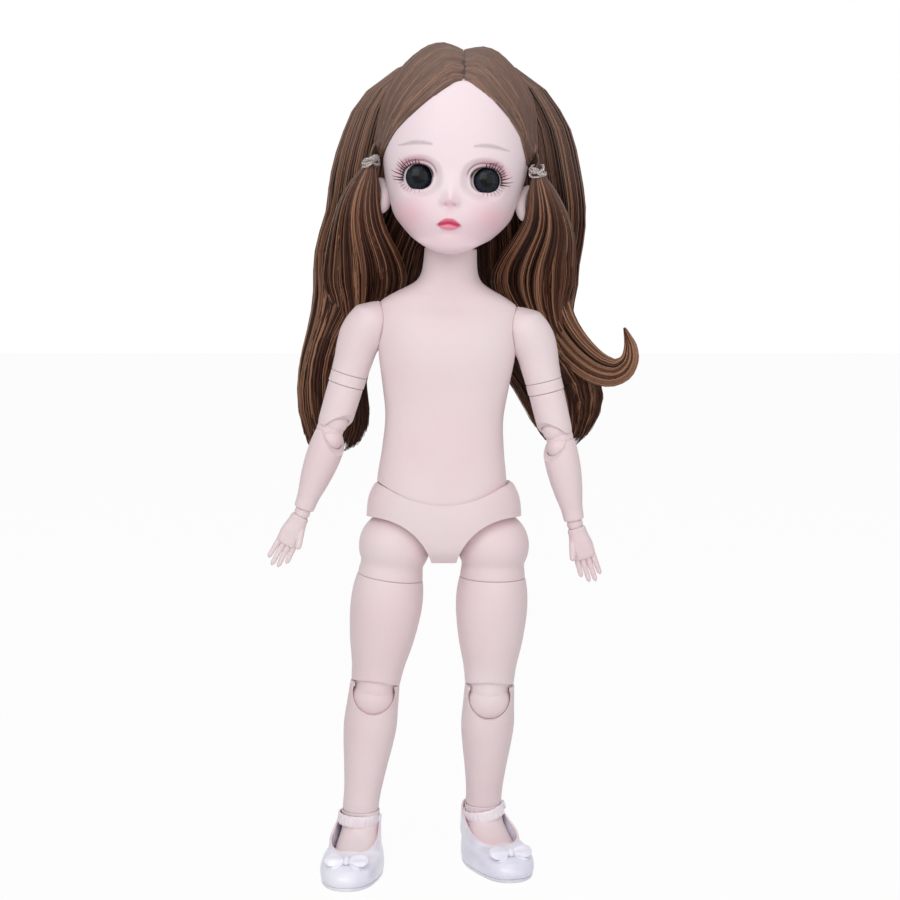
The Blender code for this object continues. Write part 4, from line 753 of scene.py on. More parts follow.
def ontoScalp(point, lift):
    # pushes a point of the head's frame out to the scalp plus the hair's thickness there
    middle = Vector((0, 1.8, 30))
    size = [radius + lift for radius in wig["scalp"]]
    away = Vector([c / r for c, r in zip(point - middle, size)])
    away.normalize()
    return middle + Vector([c * r for c, r in zip(away, size)])


def buildCurtains():
    # front sections, combed from the parting over the temples into the elastics
    for sideName, sign in sides.items():
        tie = Vector((sign * elastic["out"], -elastic["front"], elastic["rise"]))
        hairline = []
        for wide, z in hairlineTable:
            x = sign * wide + partingAt(z)
            hairline.append(Vector((x, headFront(x, z) - 0.3, z)))
        rear = [Vector((sign * x, y, z)) for x, y, z in (
            (0.4, 11, 73), (14, 10, 68), (25, 7, 54), (30.5, 1, 42), (31, -4, 34),
        )]
        front, back = throughPoints(hairline, 14), throughPoints(rear, 14)
        # the under layer, in the near black fibre, is painted shade beneath the curtain
        for layer, count, sunk, material in (
            ("curtain", 820, 0.0, fibre), ("curtainUnder", 380, -0.7, shadedFibre),
        ):
            strands, tones = [], []
            for k in range(count):
                s = (k + dice.random()) / count
                deep = s ** 0.85
                bulk = 0.4 + 4.3 * deep ** 0.6
                points = []
                for step in range(14):
                    along = step / 13
                    point = front[step].lerp(back[step], deep * (1 - 0.25 * along * (1 - deep)))
                    lift = 0.3 + 1.1 * (1 - deep) * smooth(1.0, 0.3, along) + sunk
                    lift += bulk * smooth(-0.01, 0.22, along) * (1 - 0.35 * smooth(0.5, 0.8, along))
                    lift += 0.3 * (dice.random() - 0.5)
                    lift += 0.45 * noise.noise(Vector((deep * 15, along * 1.2, sign)))
                    points.append(ontoScalp(point, max(0.3, lift)))
                close = Vector((dice.uniform(-1, 1), dice.uniform(-1, 1), dice.uniform(-0.4, 0.4))) * 1.3
                points.append(points[-1].lerp(tie, 0.55) + Vector((sign * 0.6, -0.4, 0.8)))
                points.append(tie + close)
                points.append(tie + close * 0.9 + Vector((0, 0, -1.8)))
                line = [headToHair @ point for point in throughPoints(points, wig["points"])]
                strands.append(tapered(line, wig["strand"]))
                tones.append(streak(s, sign))
            replaced = ("wig_crown",) if sign > 0 and layer == "curtain" else ()
            hairPiece(layer + sideName.title(), strands, tones, material, replaced)
    print("curtains done")


def newLocks(count, shift):
    # each lock has its place round the mass, its part of the wave and its reach
    return [(2 * math.pi * (k + 0.5 * dice.random()) / count, dice.uniform(-shift, shift), dice.random())
            for k in range(count)]


def massPoint(rows, height, angle, deep):
    # rows run from the top down; the angle goes round the mass of hair
    row = tableAt([(-h, *rest) for h, *rest in rows], -height)
    inner, outer, near, far = row[1:5]
    across = rounded(math.cos(angle), 0.9)
    return Vector((
        (inner + outer) / 2 + (outer - inner) / 2 * deep * across,
        (near + far) / 2 + (far - near) / 2 * deep * math.sin(angle), height,
    ))


def waved(point, phase, strength):
    # the long waves that the wig fibre was set in
    turnNow = 2 * math.pi * point.z / wig["waveLength"] + phase
    swing = Vector((0.7 * math.sin(turnNow), 1.1 * math.cos(turnNow + 0.6), 0))
    return point + swing * wig["wave"] * strength


def buildMasses():
    crown = headToHair @ Vector(wig["crown"])
    for sideName, sign in sides.items():
        rows = massTable[sideName]
        locks = newLocks(wig["locks"], 0.8)
        # the under layer, in the near black fibre, is painted shade inside the long hair
        for layer, count, deepest, material in (
            ("longHair", 1150, 1.0, fibre), ("longHairUnder", 520, 0.9, shadedFibre),
        ):
            strands, tones = [], []
            for k in range(count):
                lockAngle, phase, reach = locks[k % len(locks)]
                spread = dice.gauss(0, 0.17)
                deep = deepest * (1 - 0.12 * dice.random() - 0.5 * spread * spread)
                end = rows[-1][0] + 0.5 + 9 * reach * reach + 4 * dice.random()
                points = [crown + Vector((dice.uniform(-2, 2), dice.uniform(-4, 3), dice.uniform(-1.0, 0.3)))]
                for step in range(16):
                    height = wig["top"] - (wig["top"] - end) * step / 15
                    low = smooth(10, end, height)
                    angle = lockAngle + spread * (1 - 0.45 * low)
                    point = massPoint(rows, height, angle, deep * (1 - 0.04 * low))
                    points.append(waved(point, phase, 0.1 + 0.9 * smooth(45, 0, height)))
                strands.append(tapered(throughPoints(points, wig["longPoints"]), wig["strand"]))
                # painted shade: strands on the inner side, towards the neck, and at the back get a darker
                # tone
                inside = smooth(0.1, -0.8, math.cos(lockAngle)) + 0.4 * smooth(0, 1, math.sin(lockAngle))
                tones.append(streak((lockAngle + spread) / 6.3, sign * 3.0) - 0.12 * inside)
            replaced = ()
            if layer == "longHair":
                replaced = ("hair_fall_" + sideName, "hair_back")[:2 if sign > 0 else 1]
            hairPiece(layer + sideName.title(), strands, tones, material, replaced)
        # the core is painted shade: a dark solid where the inside of the hair lies in shadow
        core = []
        for high, inner, outer, near, far in reversed(rows):
            if high > -56:
                half = abs(outer - inner) / 2 * 0.8
                core.append((high, half, -(near + 2.2), far - 3.0, 2.0, (inner + outer) / 2))
        mesh = meshFrom("core", loft(core, 40, 32, 2.0, 1.0), hairPlace)
        finishPiece("hairCore" + sideName.title(), mesh, shadedFibre, "head")
    print("long hair done")


def buildBunches():
    for sideName, sign in sides.items():
        rows = [(high, sign * inner, sign * outer, near, far) for high, inner, outer, near, far in bunchTable]
        locks = newLocks(wig["bunchLocks"], 0.6)
        strands, tones = [], []
        for k in range(wig["bunch"]):
            lockAngle, phase, reach = locks[k % len(locks)]
            spread = dice.gauss(0, 0.22)
            deep = 1 - 0.3 * dice.random() ** 2
            end = -38 - 22 * reach - 6 * dice.random()
            points = []
            for step in range(16):
                height = elastic["rise"] - (elastic["rise"] - end) * step / 15
                low = smooth(12, end, height)
                point = massPoint(rows, height, lockAngle + spread * (1 - 0.4 * low), deep * (1 - 0.06 * low))
                point = (headToHair @ point).lerp(point, smooth(14, 0, height))
                points.append(waved(point, phase, 0.9 * smooth(18, -12, height)))
            strands.append(tapered(throughPoints(points, wig["points"]), wig["strand"]))
            tones.append(streak((lockAngle + spread) / 6.3, sign * 7.0))
        hairPiece("bunch" + sideName.title(), strands, tones, fibre, ("hair_bunch_" + sideName,))
    print("bunches done")


curl = [   # the loose lock that swings out and turns up: across, back, height, half thickness
    (34.6, 20, -12, 6.0), (36.8, 19, -20.7, 6.6), (39.6, 18, -29.9, 6.8), (45.0, 16.5, -38.2, 6.6),
    (52.0, 15, -44.4, 6.0), (58.3, 13.5, -46.7, 5.3), (62.6, 12.5, -45.4, 4.4), (65.2, 12, -41.8, 3.2),
    (65.4, 12, -37.3, 2.3), (64.2, 12, -33.3, 1.3), (62.9, 12, -29.9, 0.4),
]


def buildCurl():
    strands, tones = [], []
    for k in range(wig["curl"]):
        angle, deep = dice.uniform(0, 2 * math.pi), math.sqrt(dice.random())
        last = dice.uniform(0.82, 1.0)
        points = []
        for i, (x, y, z, thick) in enumerate(curl):
            before, after = curl[max(0, i - 1)], curl[min(len(curl) - 1, i + 1)]
            way = Vector([b - a for a, b in zip(before[:3], after[:3])]).normalized()
            side = way.cross(Vector((0, 1, 0))).normalized()
            turned = angle + 0.1 * i
            off = side * math.cos(turned) * thick * deep
            off += Vector((0, 0.75, 0)) * math.sin(turned) * thick * deep
            points.append(Vector((x, y, z)) + off)
        line = throughPoints(points, 60)[:int(60 * last)]
        strands.append(tapered(throughPoints(line, wig["points"]), wig["strand"] * 0.9))
        tones.append(streak(angle / 6.3, 11.0) + 0.3)
    hairPiece("curledLock", strands, tones, fibre, ("hair_curl",))
    print("curl done")


def buildElastics():
    # Clear stretch elastic, wound round the hair into a crumpled knot that catches the light
    clear, tree, shader = newMaterial("clearElastic", {
        "Base Color": (*linear("#EDE4E1"), 1), "Roughness": 0.1, "IOR": 1.45, "Transmission Weight": 0.7,
        "Coat Weight": 0.5, "Coat Roughness": 0.06,
    })
    where = addNode(tree, "TexCoord", {})
    creases = addNode(tree, "TexNoise", {"Vector": where.outputs["Object"], "Scale": 900.0, "Detail": 2.0})
    bump = addNode(tree, "Bump", {"Height": creases.outputs["Fac"], "Strength": 0.5, "Distance": 0.0004})
    plug(tree, shader, {"Normal": bump.outputs["Normal"]})
    for sideName, sign in sides.items():
        middle = Vector((sign * elastic["out"], -elastic["front"], elastic["rise"]))
        coils = []
        for k in range(6):
            tilt = Matrix.Rotation(math.radians(dice.uniform(-32, 32)), 3, "X")
            tilt = tilt @ Matrix.Rotation(math.radians(sign * 12 + dice.uniform(-24, 24)), 3, "Y")
            shift = Vector((dice.uniform(-0.3, 0.3), dice.uniform(-0.3, 0.3), 1.1 * (k - 2.5) / 2.5))
            radius = elastic["radius"] + dice.uniform(-0.15, 0.35)
            loop = []
            for step in range(29):
                angle = 2 * math.pi * step / 28
                wobble = radius * (1 + 0.09 * math.sin(3 * angle + k) + 0.05 * math.sin(5 * angle + 2 * k))
                rise = 0.25 * math.sin(4 * angle + k)
                point = Vector((wobble * math.cos(angle), wobble * math.sin(angle), rise))
                thick = elastic["thick"] * (1 + 0.2 * math.sin(2 * angle + k))
                loop.append((middle + shift + tilt @ point, thick))
            coils.append(loop)
        mesh = strandMesh("elastic", coils, headPlace, 2)
        finishPiece("elastic" + sideName.title(), mesh, clear, "head", ("elastic_" + sideName,))


buildCurtains()
buildMasses()
buildBunches()
buildCurl()
buildElastics()


# The body: smooth moulded shells with the same seams, sockets and reliefs as the frame
gap = {"seam": 0.18, "ball": 0.25, "hip": 0.35, "cap": 0.14}
trunk = {"tilt": 2.2, "dome": 30.4, "seamDepth": 1.0, "shoulderRadius": 9.6, "neck": 7.4, "neckRise": 66}
trunkTable = [   # height, half width, front, back, how square
    (-31.0, 23.4, 15.5, 14.5, 2.4), (-19.4, 23.4, 15.5, 14.0, 2.4), (-8.0, 22.0, 14.8, 12.8, 2.4),
    (4.0, 21.2, 13.6, 12.0, 2.4), (15.0, 22.6, 13.6, 12.4, 2.4), (25.0, 24.2, 14.2, 13.2, 2.4),
    (34.0, 25.1, 13.8, 13.5, 2.4), (40.0, 25.1, 12.4, 12.6, 2.4), (44.5, 24.6, 10.2, 11.0, 2.3),
    (47.7, 20.3, 9.6, 10.0, 2.2), (49.7, 16.6, 9.2, 9.8, 2.1), (51.4, 13.5, 9.3, 9.5, 2.0),
    (53.4, 11.2, 9.4, 9.4, 2.0), (56.8, 9.9, 9.4, 9.4, 2.0), (64.5, 9.3, 9.3, 9.3, 2.0),
]
pelvis = {"openingRadius": 20.4, "openingOut": 24.5, "openingDrop": 9.0, "hipOut": 17.9, "hipRadius": 12.9}
pelvisTable = [
    (-5.0, 23.5, 9.9, 11.2), (-0.5, 27.2, 13.9, 15.3), (5.7, 28.0, 15.7, 17.0), (11.3, 28.0, 16.3, 17.3),
    (17.5, 27.3, 16.3, 16.7), (21.7, 25.6, 16.0, 15.5), (23.6, 24.1, 15.5, 14.7),
]


def lyingAlong(upper, lower, *turns):
    # the frame of a limb, from one joint down to the next
    way = (jointAt[upper] - jointAt[lower]).normalized()
    lean = Matrix.Rotation(math.atan2(way.x, way.z), 4, "Y") @ Matrix.Rotation(-math.asin(way.y), 4, "X")
    return inPlace(jointAt[upper], lean, *turns)


def waistDome(radius):
    # a round-bottomed plug
    return spun([(0, 70), (radius, 70), *arc(radius, 0, -90, 16)], 96)


def buildTrunk():
    place = inPlace(jointAt["waist_bend"], turn("Y", trunk["tilt"]))
    seam, half = trunk["seamDepth"], gap["seam"] / 2
    for name, low, high, node in (
        ("chestFront", -60, seam - half, "chest_front"), ("chestBack", seam + half, 60, "chest_back"),
    ):
        tools = [(waistDome(trunk["dome"]), place, "INTERSECT"),
                 (block((-60, low, -60), (60, high, 80)), place, "INTERSECT"),
                 cut(ball(7.9, 48, at=(0, 0, trunk["neckRise"])), place)]
        for sideName in sides:
            tools.append(cut(ball(trunk["shoulderRadius"] + gap["ball"], 64),
                             inPlace(jointAt["shoulder_swing_" + sideName])))
        mesh = carved(name, loft(trunkTable, 90, 96, 2.4, 0.2), place, tools)
        finishPiece(name, mesh, skin, "trunk", (node,), 32)
    mesh = meshFrom("neckBall", ball(trunk["neck"], 48), inPlace(jointAt["neck_nod"]))
    finishPiece("neckBall", mesh, skin, "neck", ("neck_ball",))

    place = inPlace((jointAt["hip_swing_left"] + jointAt["hip_swing_right"]) / 2)
    tools = [cut(waistDome(trunk["dome"] + gap["ball"]), inPlace(jointAt["waist_bend"]))]
    for sign in sides.values():
        opening = place @ moved(sign * pelvis["openingOut"], 0, -pelvis["openingDrop"]) @ turn("X", 90)
        tools.append(cut(rod(pelvis["openingRadius"], 80, 128), opening))
        socket = ball(pelvis["hipRadius"] + gap["hip"], 64, at=(sign * pelvis["hipOut"], 0, 0))
        tools.append(cut(socket, place))
    mesh = carved("pelvisShell", loft(pelvisTable, 60, 112, 2.3, 0.5), place, tools)
    finishPiece("pelvisShell", mesh, skin, "pelvis", ("pelvis",), 32)
    print("trunk done")


arm = {
    "ring": 6.56, "ringTop": -19.12, "ringBottom": -23.08, "elbow": 4.7, "span": 6.6, "bridge": 4.9,
    "bridgeBack": 1.2, "rim": 2.2, "turn": 50, "relief": 46, "wrist": 2.9, "apart": 3.75,
    "handLean": {"left": 16.9, "right": 27.0},
    "finger": 1.12, "fingerTip": 0.74, "palmHalf": 4.1, "palmEnd": 10.35,
    "thumb": 1.45, "thumbTip": 0.72, "thumbRoot": (2.1, -0.4, -4.4), "thumbEnd": (4.7, -3.1, -12.4),
}
capTable = [   # side steps at the end lean towards the trunk, so that the shoulder slopes
    (-19.0, 6.55, 6.55, 6.55, 2, 0.0), (-14.0, 6.9, 6.8, 6.8, 2, 0.0), (-9.0, 7.4, 7.45, 7.45, 2, -0.1),
    (-4.0, 8.2, 8.4, 8.4, 2, 0.6), (0.0, 8.1, 8.8, 8.8, 2, 1.3), (3.0, 7.4, 8.3, 8.3, 2, 1.8),
    (5.4, 6.15, 7.0, 7.0, 2, 1.95), (7.0, 4.2, 5.2, 5.2, 2, 2.6), (8.2, 2.35, 3.0, 3.0, 2, 2.95),
    (8.9, 1.0, 1.2, 1.2, 2, 3.0),
]
upperArmTable = [
    (-39.2, 5.7, 5.7, 5.7), (-36.8, 6.02, 6.02, 6.02), (-32.8, 6.14, 6.14, 6.14), (-28.0, 6.27, 6.27, 6.27),
    (-23.2, 6.34, 6.34, 6.34),
]
forearmTable = [
    (-27.1, 3.65, 3.65, 3.65), (-22.4, 4.03, 4.03, 4.03), (-16.0, 5.25, 5.25, 5.25), (-8.9, 6.14, 6.14, 6.14),
    (-2.5, 6.27, 6.27, 6.27), (2.2, 5.95, 5.95, 5.95),
]
palmTable = [
    (-13.3, 3.7, 2.0, 2.0), (-11.8, 4.1, 2.4, 2.4), (-7.8, 4.15, 2.9, 2.9), (-3.9, 3.45, 3.0, 3.1),
    (-1.4, 3.28, 3.2, 3.2),
]
fingerTable = [   # place, length, lean
    (-0.68, 9.2, -3.0), (-0.22, 11.7, -0.5), (0.24, 12.1, 1.5), (0.70, 10.1, 4.0),
]


def wedge(size, below):
    low = (-size, 0, -2 * size if below else 0)
    high = (size, 2 * size, 0 if below else 2 * size)
    return block(low, high)


def digit(radius, length, tip):
    # a finger hanging down from its root: slightly thick at the knuckles, round at its tip
    rows = []
    for step in range(13):
        t = step / 12
        size = radius * (1 + (tip - 1) * t) * (1 + 0.05 * bell(t, 0.42, 0.12) + 0.04 * bell(t, 0.74, 0.09))
        if t > 0.88:
            size *= math.sqrt(max(0.05, 1 - ((t - 0.88) / 0.125) ** 2))
        rows.append((-length * t, size, size * 1.02, size * 0.98))
    return loft(rows[::-1], 40, 20, 2.0, 0.05)


def buildArm(sideName, sign):
    elbow, back = arm["elbow"], turn("Z", 180)
    twist = turn("Z", -sign * arm["turn"])
    wrist = inPlace(jointAt["wrist_bend_" + sideName])
    top = lyingAlong("shoulder_swing_" + sideName, "elbow_upper_" + sideName)
    link = lyingAlong("elbow_upper_" + sideName, "elbow_lower_" + sideName, twist)
    fore = lyingAlong("elbow_lower_" + sideName, "wrist_bend_" + sideName)
    hand = inPlace(jointAt["wrist_bend_" + sideName], turn("Y", -sign * arm["handLean"][sideName]))

    rows = [(*row, -sign * step) for *row, step in capTable]
    mesh = carved("shoulder", loft(rows, 60, 72, 2.0, 0.25), top, [cut(ball(elbow, 32), top)])
    sidePiece("shoulder", mesh, sideName, "arm_top", "shoulder_cap")

    rows = [(height, arm["ring"], arm["ring"], arm["ring"]) for height in (arm["ringBottom"], arm["ringTop"])]
    mesh = meshFrom("ring", loft(rows, 12, 64, 2.0, 0.3), top)
    sidePiece("armRing", mesh, sideName, "arm_top", "arm_ring", 0)

    tools = [cut(ball(elbow + gap["ball"], 48), link),
             cut(wedge(13, True), link @ moved(0, 0, -arm["rim"]) @ back @ turn("X", arm["relief"]))]
    mesh = carved("upperArm", loft(upperArmTable, 50, 72, 2.0, 0.3), top, tools)
    sidePiece("upperArm", mesh, sideName, "arm", "upper_arm")

    # the meridians of the three balls are turned apart, so that their edges never meet edge on edge
    bridge = ball(arm["bridge"], 48, at=(0, arm["bridgeBack"], -arm["span"] / 2))
    tools = [(ball(elbow, 48, at=(0, 0, -arm["span"])), link @ turn("Z", arm["apart"]), "UNION"),
             (bridge, link @ turn("Z", arm["apart"] / 3), "UNION")]
    mesh = carved("elbowLink", ball(elbow, 48), link, tools)
    sidePiece("elbowLink", mesh, sideName, "elbow", "elbow_link", 30)

    edge = twist @ moved(0, 0, arm["rim"])
    tools = [cut(ball(elbow + gap["ball"], 48), fore),
             cut(wedge(13, False), fore @ edge @ back @ turn("X", -arm["relief"])),
             cut(ball(arm["wrist"] + gap["seam"], 32), wrist)]
    mesh = carved("forearm", loft(forearmTable, 60, 72, 2.0, 0.5), fore, tools)
    sidePiece("forearm", mesh, sideName, "forearm", "forearm")
    mesh = meshFrom("wristBall", ball(arm["wrist"], 40), wrist)
    sidePiece("wristBall", mesh, sideName, "wrist", "wrist_ball", 0)

    tools = []
    for across, length, lean in fingerTable:
        root = moved(sign * arm["palmHalf"] * across, 0, -arm["palmEnd"]) @ turn("Y", -sign * lean)
        tools.append((digit(arm["finger"], length, arm["fingerTip"]), hand @ root, "UNION"))
    start, end = [Vector((-sign * x, y, z)) for x, y, z in (arm["thumbRoot"], arm["thumbEnd"])]
    lie = (start - end).to_track_quat("Z", "Y").to_matrix().to_4x4()
    thumb = digit(arm["thumb"], (end - start).length, arm["thumbTip"])
    tools.append((thumb, hand @ moved(*start) @ lie, "UNION"))
    tools.append(cut(ball(arm["wrist"] + gap["seam"], 32), hand))
    mesh = carved("hand", loft(palmTable, 40, 56, 2.3, 0.6), hand, tools)
    sidePiece("hand", mesh, sideName, "hand", "hand", 40)


thighTable = [
    (-51.1, 8.85, 8.95, 9.3), (-44.8, 9.6, 9.55, 10.3), (-35.0, 11.6, 11.6, 12.1), (-24.5, 12.9, 12.9, 13.2),
    (-17.1, 12.85, 12.8, 12.9), (-11.55, 12.0, 12.0, 12.0),
]
shinTable = [
    (-40.5, 6.6, 6.6, 6.6), (-38.0, 6.65, 6.65, 6.7), (-34.5, 6.85, 6.9, 7.1), (-26.4, 7.8, 7.8, 8.6),
    (-17.9, 9.0, 8.7, 10.7), (-10.2, 9.7, 9.4, 10.9), (-2.8, 9.4, 9.3, 10.0), (5.9, 9.0, 9.0, 9.0),
]
leg = {
    "knee": 8.0, "kneeCap": 8.1, "capForward": 0.8, "arch": 20.8, "archDrop": 20.6, "archBack": -10.6,
    "bridge": 8.15, "span": 7.8, "notch": 7.6, "notchRise": 3.0,
    "relief": 46, "reliefDrop": 1.6, "reliefRise": 5.9,
    "ankle": 4.7, "dome": 6.6, "ankleBore": 4.4, "toeOut": {"left": 16.5, "right": 5.5},
}
hipSkirt = [   # across and down from the middle of the hip ball
    (11.33, -6.9), (11.36, -7.8), (11.5, -8.8), (11.66, -9.8), (11.78, -11.2), (11.66, -11.4), (0, -11.4),
]


def buildLeg(sideName, sign):
    top = lyingAlong("hip_swing_" + sideName, "knee_upper_" + sideName)
    link = lyingAlong("knee_upper_" + sideName, "knee_lower_" + sideName)
    shin = lyingAlong("knee_lower_" + sideName, "ankle_pitch_" + sideName)
    ankle = inPlace(jointAt["ankle_pitch_" + sideName])
    # a ball with a short skirt under it
    hip = spun([(0, pelvis["hipRadius"]), *arc(pelvis["hipRadius"], 90, -28, 24)[1:], *hipSkirt], 80)
    sidePiece("hipBall", meshFrom("hipBall", hip, top), sideName, "leg_top", "hip_ball", 35)

    arch = link @ moved(0, leg["archBack"], -leg["archDrop"]) @ turn("X", 90)
    tools = [cut(ball(leg["knee"] + gap["ball"], 48), link),
             cut(wedge(26, True), link @ moved(0, 0, -leg["reliefDrop"]) @ turn("X", leg["relief"])),
             cut(rod(leg["arch"], 20, 96), arch)]
    mesh = carved("thigh", loft(thighTable, 60, 80, 2.0, 0.4), top, tools)
    sidePiece("thigh", mesh, sideName, "thigh", "thigh")

    cap = ball(leg["kneeCap"], 56, at=(0, -leg["capForward"], -leg["span"]))
    bridge = ball(leg["bridge"], 56, (0.9, 1, 1), (0, -leg["capForward"] / 2, -leg["span"] / 2))
    mesh = carved("kneeLink", ball(leg["knee"], 56), link, [(cap, link, "UNION"), (bridge, link, "UNION")])
    sidePiece("kneeLink", mesh, sideName, "knee", "knee_link", 30)

    rear = shin @ moved(0, leg["capForward"], leg["reliefRise"]) @ turn("X", -leg["relief"])
    tools = [cut(ball(leg["kneeCap"] + gap["cap"], 56, at=(0, -leg["capForward"], 0)), shin),
             cut(rod(leg["notch"], 40, 64), shin @ moved(0, 0, leg["notchRise"]) @ turn("X", 90)),
             cut(wedge(26, False), rear), (ball(leg["dome"], 64), ankle, "UNION"),
             cut(ball(leg["ankle"] + gap["ball"], 40), ankle),
             cut(rod(leg["ankleBore"], 8, 40), ankle @ moved(0, 0, -8))]
    mesh = carved("shin", loft(shinTable, 70, 80, 2.0, 0.4), shin, tools)
    sidePiece("shin", mesh, sideName, "shin", "shin")
    mesh = meshFrom("ankleBall", ball(leg["ankle"], 40), ankle)
    sidePiece("ankleBall", mesh, sideName, "ankle", "ankle_ball", 0)


footTable = [
    (-19.9, 8.3, 28.4, 8.5), (-16.0, 8.6, 27.5, 8.8), (-13.2, 8.1, 18.6, 8.5), (-10.3, 7.3, 12.3, 7.6),
    (-8.2, 6.85, 9.0, 7.2), (-5.0, 6.65, 6.8, 6.8), (-1.6, 6.95, 6.95, 6.95),
]


def buildFoot(sideName, sign):
    ankle = jointAt["ankle_pitch_" + sideName]
    place = inPlace(ankle, turn("Z", sign * leg["toeOut"][sideName]))
    mesh = carved("foot", loft(footTable, 50, 64, 2.1, 0.3), place,
                  [cut(ball(leg["dome"] + gap["ball"], 64), inPlace(ankle))])
    sidePiece("foot", mesh, sideName, "foot", "foot")


buildTrunk()
for sideName, sign in sides.items():
    buildArm(sideName, sign)
    buildLeg(sideName, sign)
    buildFoot(sideName, sign)
print("limbs done")


# Strap shoes, in the frame of the foot with the floor at 0
soleTable = [(0.0, 10.7, 32.3, 10.8), (1.3, 10.8, 32.5, 10.9)]
upperTable = [   # height, half width, front, heel, how square
    (1.35, 10.8, 32.5, 10.9, 2.4), (3.2, 11.1, 33.0, 11.1, 2.4), (5.5, 11.0, 32.0, 11.1, 2.4),
    (7.3, 10.6, 29.4, 11.0, 2.4), (8.2, 10.2, 26.0, 10.9, 2.5), (8.7, 9.95, 22.0, 10.8, 2.7),
    (9.0, 9.85, 19.4, 10.7, 2.9), (9.5, 9.8, 17.7, 10.6, 3.1), (14.0, 9.6, 15.5, 10.5, 2.9),
    (20.6, 9.2, 10.5, 10.2, 2.5),
]
mouth = {"half": 8.6, "front": 17.2, "heel": 9.7, "low": 9.5, "high": 19.8, "square": 2.9, "insole": 1.9}
# how far each toe bends outwards, and the whole shoe's step
last = {"left": (2.0, 0.0), "right": (0.7, -0.8)}
strap = {
    "radius": 7.1, "thick": 0.4, "half": 2.15, "height": 17.6, "back": 0.5, "ribs": 26, "ribDeep": 0.16,
    "rise": {"left": 12.0, "right": -3.0},   # how far the end at the button is lifted, in degrees
    "button": 7.9, "buttonRadius": 1.75, "buttonLong": 0.9,
}
piping = {"out": 0.35, "thick": 0.42}
bow = {"front": 26.2, "rise": 9.6, "lean": 54}


def heelWidth(y):
    # the shoe narrows from the ball of the foot to the heel
    return 1 - 0.17 * smooth(-14, 6, y)


def lasted(shape, bend):
    for corner in shape.verts:
        x, y, z = corner.co
        corner.co.x = x * heelWidth(y) + bend * smooth(0, -24, y)
    return shape


def shoeLeather(name, pale, deep, grain):
    # Coated synthetic leather: glossy bluish white, with a fine pebble of grain millimetres pressed into it
    made, tree, shader = newMaterial(name, {
        "Roughness": 0.3, "IOR": 1.5, "Coat Weight": 0.35, "Coat Roughness": 0.12,
    })
    where = addNode(tree, "TexCoord", {}).outputs["Object"]
    drift = addNode(tree, "TexNoise", {"Vector": where, "Scale": 90.0, "Detail": 2.0})
    tone = addNode(tree, "ValToRGB", {"Fac": drift.outputs["Fac"]}, [(0.38, pale), (0.64, deep)])
    pebble = addNode(tree, "TexVoronoi", {"Vector": where, "Scale": 1000.0 / grain})
    bump = addNode(tree, "Bump", {"Height": pebble.outputs["Distance"], "Strength": 0.16, "Distance": 0.0002})
    plug(tree, shader, {"Base Color": tone.outputs["Color"], "Normal": bump.outputs["Normal"]})
    return made


leather = shoeLeather("whiteLeather", "#EFEFF9", "#E3E1F1", 0.55)
ribbonCloth = shoeLeather("bowSatin", "#F4F3FC", "#E9E6F5", 0.3)
strapLeather = shoeLeather("strapLeather", "#F6ECF2", "#EFDAE4", 0.9)
pinkPiping = shoeLeather("pinkPiping", "#F5E0E6", "#EED2DA", 0.5)
soleRubber = shoeLeather("soleRubber", "#EDEBF3", "#DFDCE8", 0.8)


def rimPoint(angle, out, bend):
    # a point on the rim of the shoe's mouth
    power = 2 / mouth["square"]
    deep = (mouth["front"] + mouth["heel"]) / 2 + out
    y = (mouth["heel"] - mouth["front"]) / 2 - deep * rounded(math.cos(angle), power)
    share = (y + mouth["front"]) / (mouth["front"] + mouth["heel"])
    x = (mouth["half"] + out) * rounded(math.sin(angle), power) * heelWidth(y) + bend * smooth(0, -24, y)
    return Vector((x, y, mouth["low"] + (mouth["high"] - mouth["low"]) * share))


def strapBand():
    # a flat band with fine ribs, a little gathered at both edges
    points = []
    for k in range(20):
        angle = 2 * math.pi * k / 20
        across, up = rounded(math.cos(angle), 0.8), rounded(math.sin(angle), 0.55)
        points.append((strap["radius"] + strap["thick"] * across, strap["half"] * up))
    shape = spun(points, 144, True)
    for corner in shape.verts:
        around = math.atan2(corner.co.y, corner.co.x)
        ruffle = strap["ribDeep"] * math.sin(strap["ribs"] * around) * bell(corner.co.z, 0, 1.3)
        corner.co.x += ruffle * math.cos(around)
        corner.co.y += ruffle * math.sin(around) - strap["back"]
        corner.co.z += 0.10 * math.sin(17 * around)
    return shape


def bowLoops():
    # a flat satin bow: two puffed loops, two tails and a knot
    loops = bmesh.new()
    for way in (-1, 1):
        for corner in bmesh.ops.create_uvsphere(loops, u_segments=32, v_segments=20, radius=1.0)["verts"]:
            x, y, z = corner.co
            out = (x + 1) / 2
            high = 0.45 + 0.65 * out ** 0.8
            fold = 0.3 * math.sin(5 * z * high + way) * (1 - 0.6 * out)
            across = way * (0.3 + 7.7 * out - 0.5 * out * z * z)
            corner.co = (across, y * (0.55 + 0.45 * out) + fold, 3.3 * z * high)
    for way in (-1, 1):
        for corner in bmesh.ops.create_cube(loops, size=1.0)["verts"]:
            x, y, z = corner.co
            down = 0.5 - z
            corner.co = (way * (0.8 + 3.8 * down) + x * (1.2 + 1.4 * down), y * 0.5 + 0.4, -0.4 - 3.4 * down)
    knot = bmesh.ops.create_uvsphere(loops, u_segments=24, v_segments=16, radius=1.0)["verts"]
    bmesh.ops.scale(loops, vec=(1.2, 1.3, 1.9), verts=knot)
    return loops


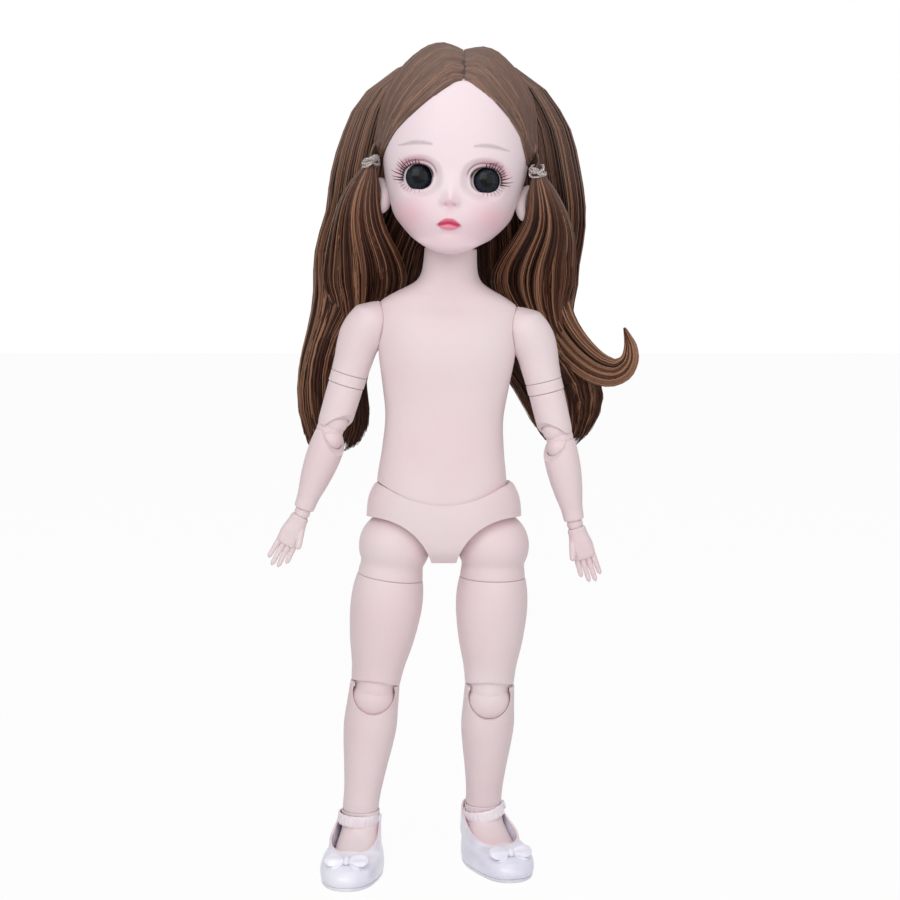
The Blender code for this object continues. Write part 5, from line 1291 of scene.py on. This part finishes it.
def buildShoe(sideName, sign):
    def shoePiece(name, mesh, material, node, sharp):
        sidePiece(name, mesh, sideName, "foot", node, sharp, material)

    ankle = jointAt["ankle_pitch_" + sideName]
    bend, step = last[sideName]
    bend *= sign
    place = inPlace((ankle.x + step / 1000, ankle.y, 0), turn("Z", sign * leg["toeOut"][sideName]))
    shape = lasted(loft(soleTable, 10, 96, 2.4, 0.4), bend)
    shoePiece("sole", meshFrom("sole", shape, place), soleRubber, "shoe_sole", 50)

    opening = [(height, mouth["half"], mouth["front"], mouth["heel"]) for height in (mouth["insole"], 30)]
    slope = math.degrees(math.atan2(mouth["high"] - mouth["low"], mouth["front"] + mouth["heel"]))
    collar = place @ moved(0, -mouth["front"], mouth["low"]) @ turn("X", slope)
    tools = [cut(lasted(loft(opening, 4, 80, mouth["square"], 0.1), bend), place),
             cut(block((-20, 0, 0), (20, 60, 30)), collar)]
    mesh = carved("upper", lasted(loft(upperTable, 60, 112, 2.4, 0.35), bend), place, tools)
    shoePiece("shoeUpper", mesh, leather, "shoe_upper", 35)
    rim = [(rimPoint(2 * math.pi * k / 72, piping["out"], bend), piping["thick"]) for k in range(73)]
    shoePiece("piping", strandMesh("piping", [rim], place, 3), pinkPiping, None, 0)

    tilt = place @ moved(0, 0, strap["height"]) @ turn("Y", -strap["rise"][sideName])
    shoePiece("strap", meshFrom("strap", strapBand(), tilt), strapLeather, "shoe_strap", 50)
    shape = rod(strap["buttonRadius"], strap["buttonLong"], 40)
    edges = [e for e in shape.edges if e.calc_face_angle(0) > 0.8]
    bmesh.ops.bevel(shape, geom=edges, offset=0.35, segments=3, profile=0.5, affect="EDGES", material=-1)
    button = tilt @ moved(strap["button"], 0, 0) @ turn("Y", 90)
    shoePiece("button", meshFrom("button", shape, button), leather, "strap_button", 40)
    vamp = place @ moved(bend, 0, 0) @ moved(0, -bow["front"], bow["rise"]) @ turn("X", -bow["lean"])
    shoePiece("bow", meshFrom("bow", bowLoops(), vamp), ribbonCloth, "shoe_bow", 50)


for sideName, sign in sides.items():
    buildShoe(sideName, sign)
print("shoes done")


for name, node in frame["nodes"].items():
    node.data.materials.clear()
    node.data.materials.append(innerPlastic if "stud" in name else skin)
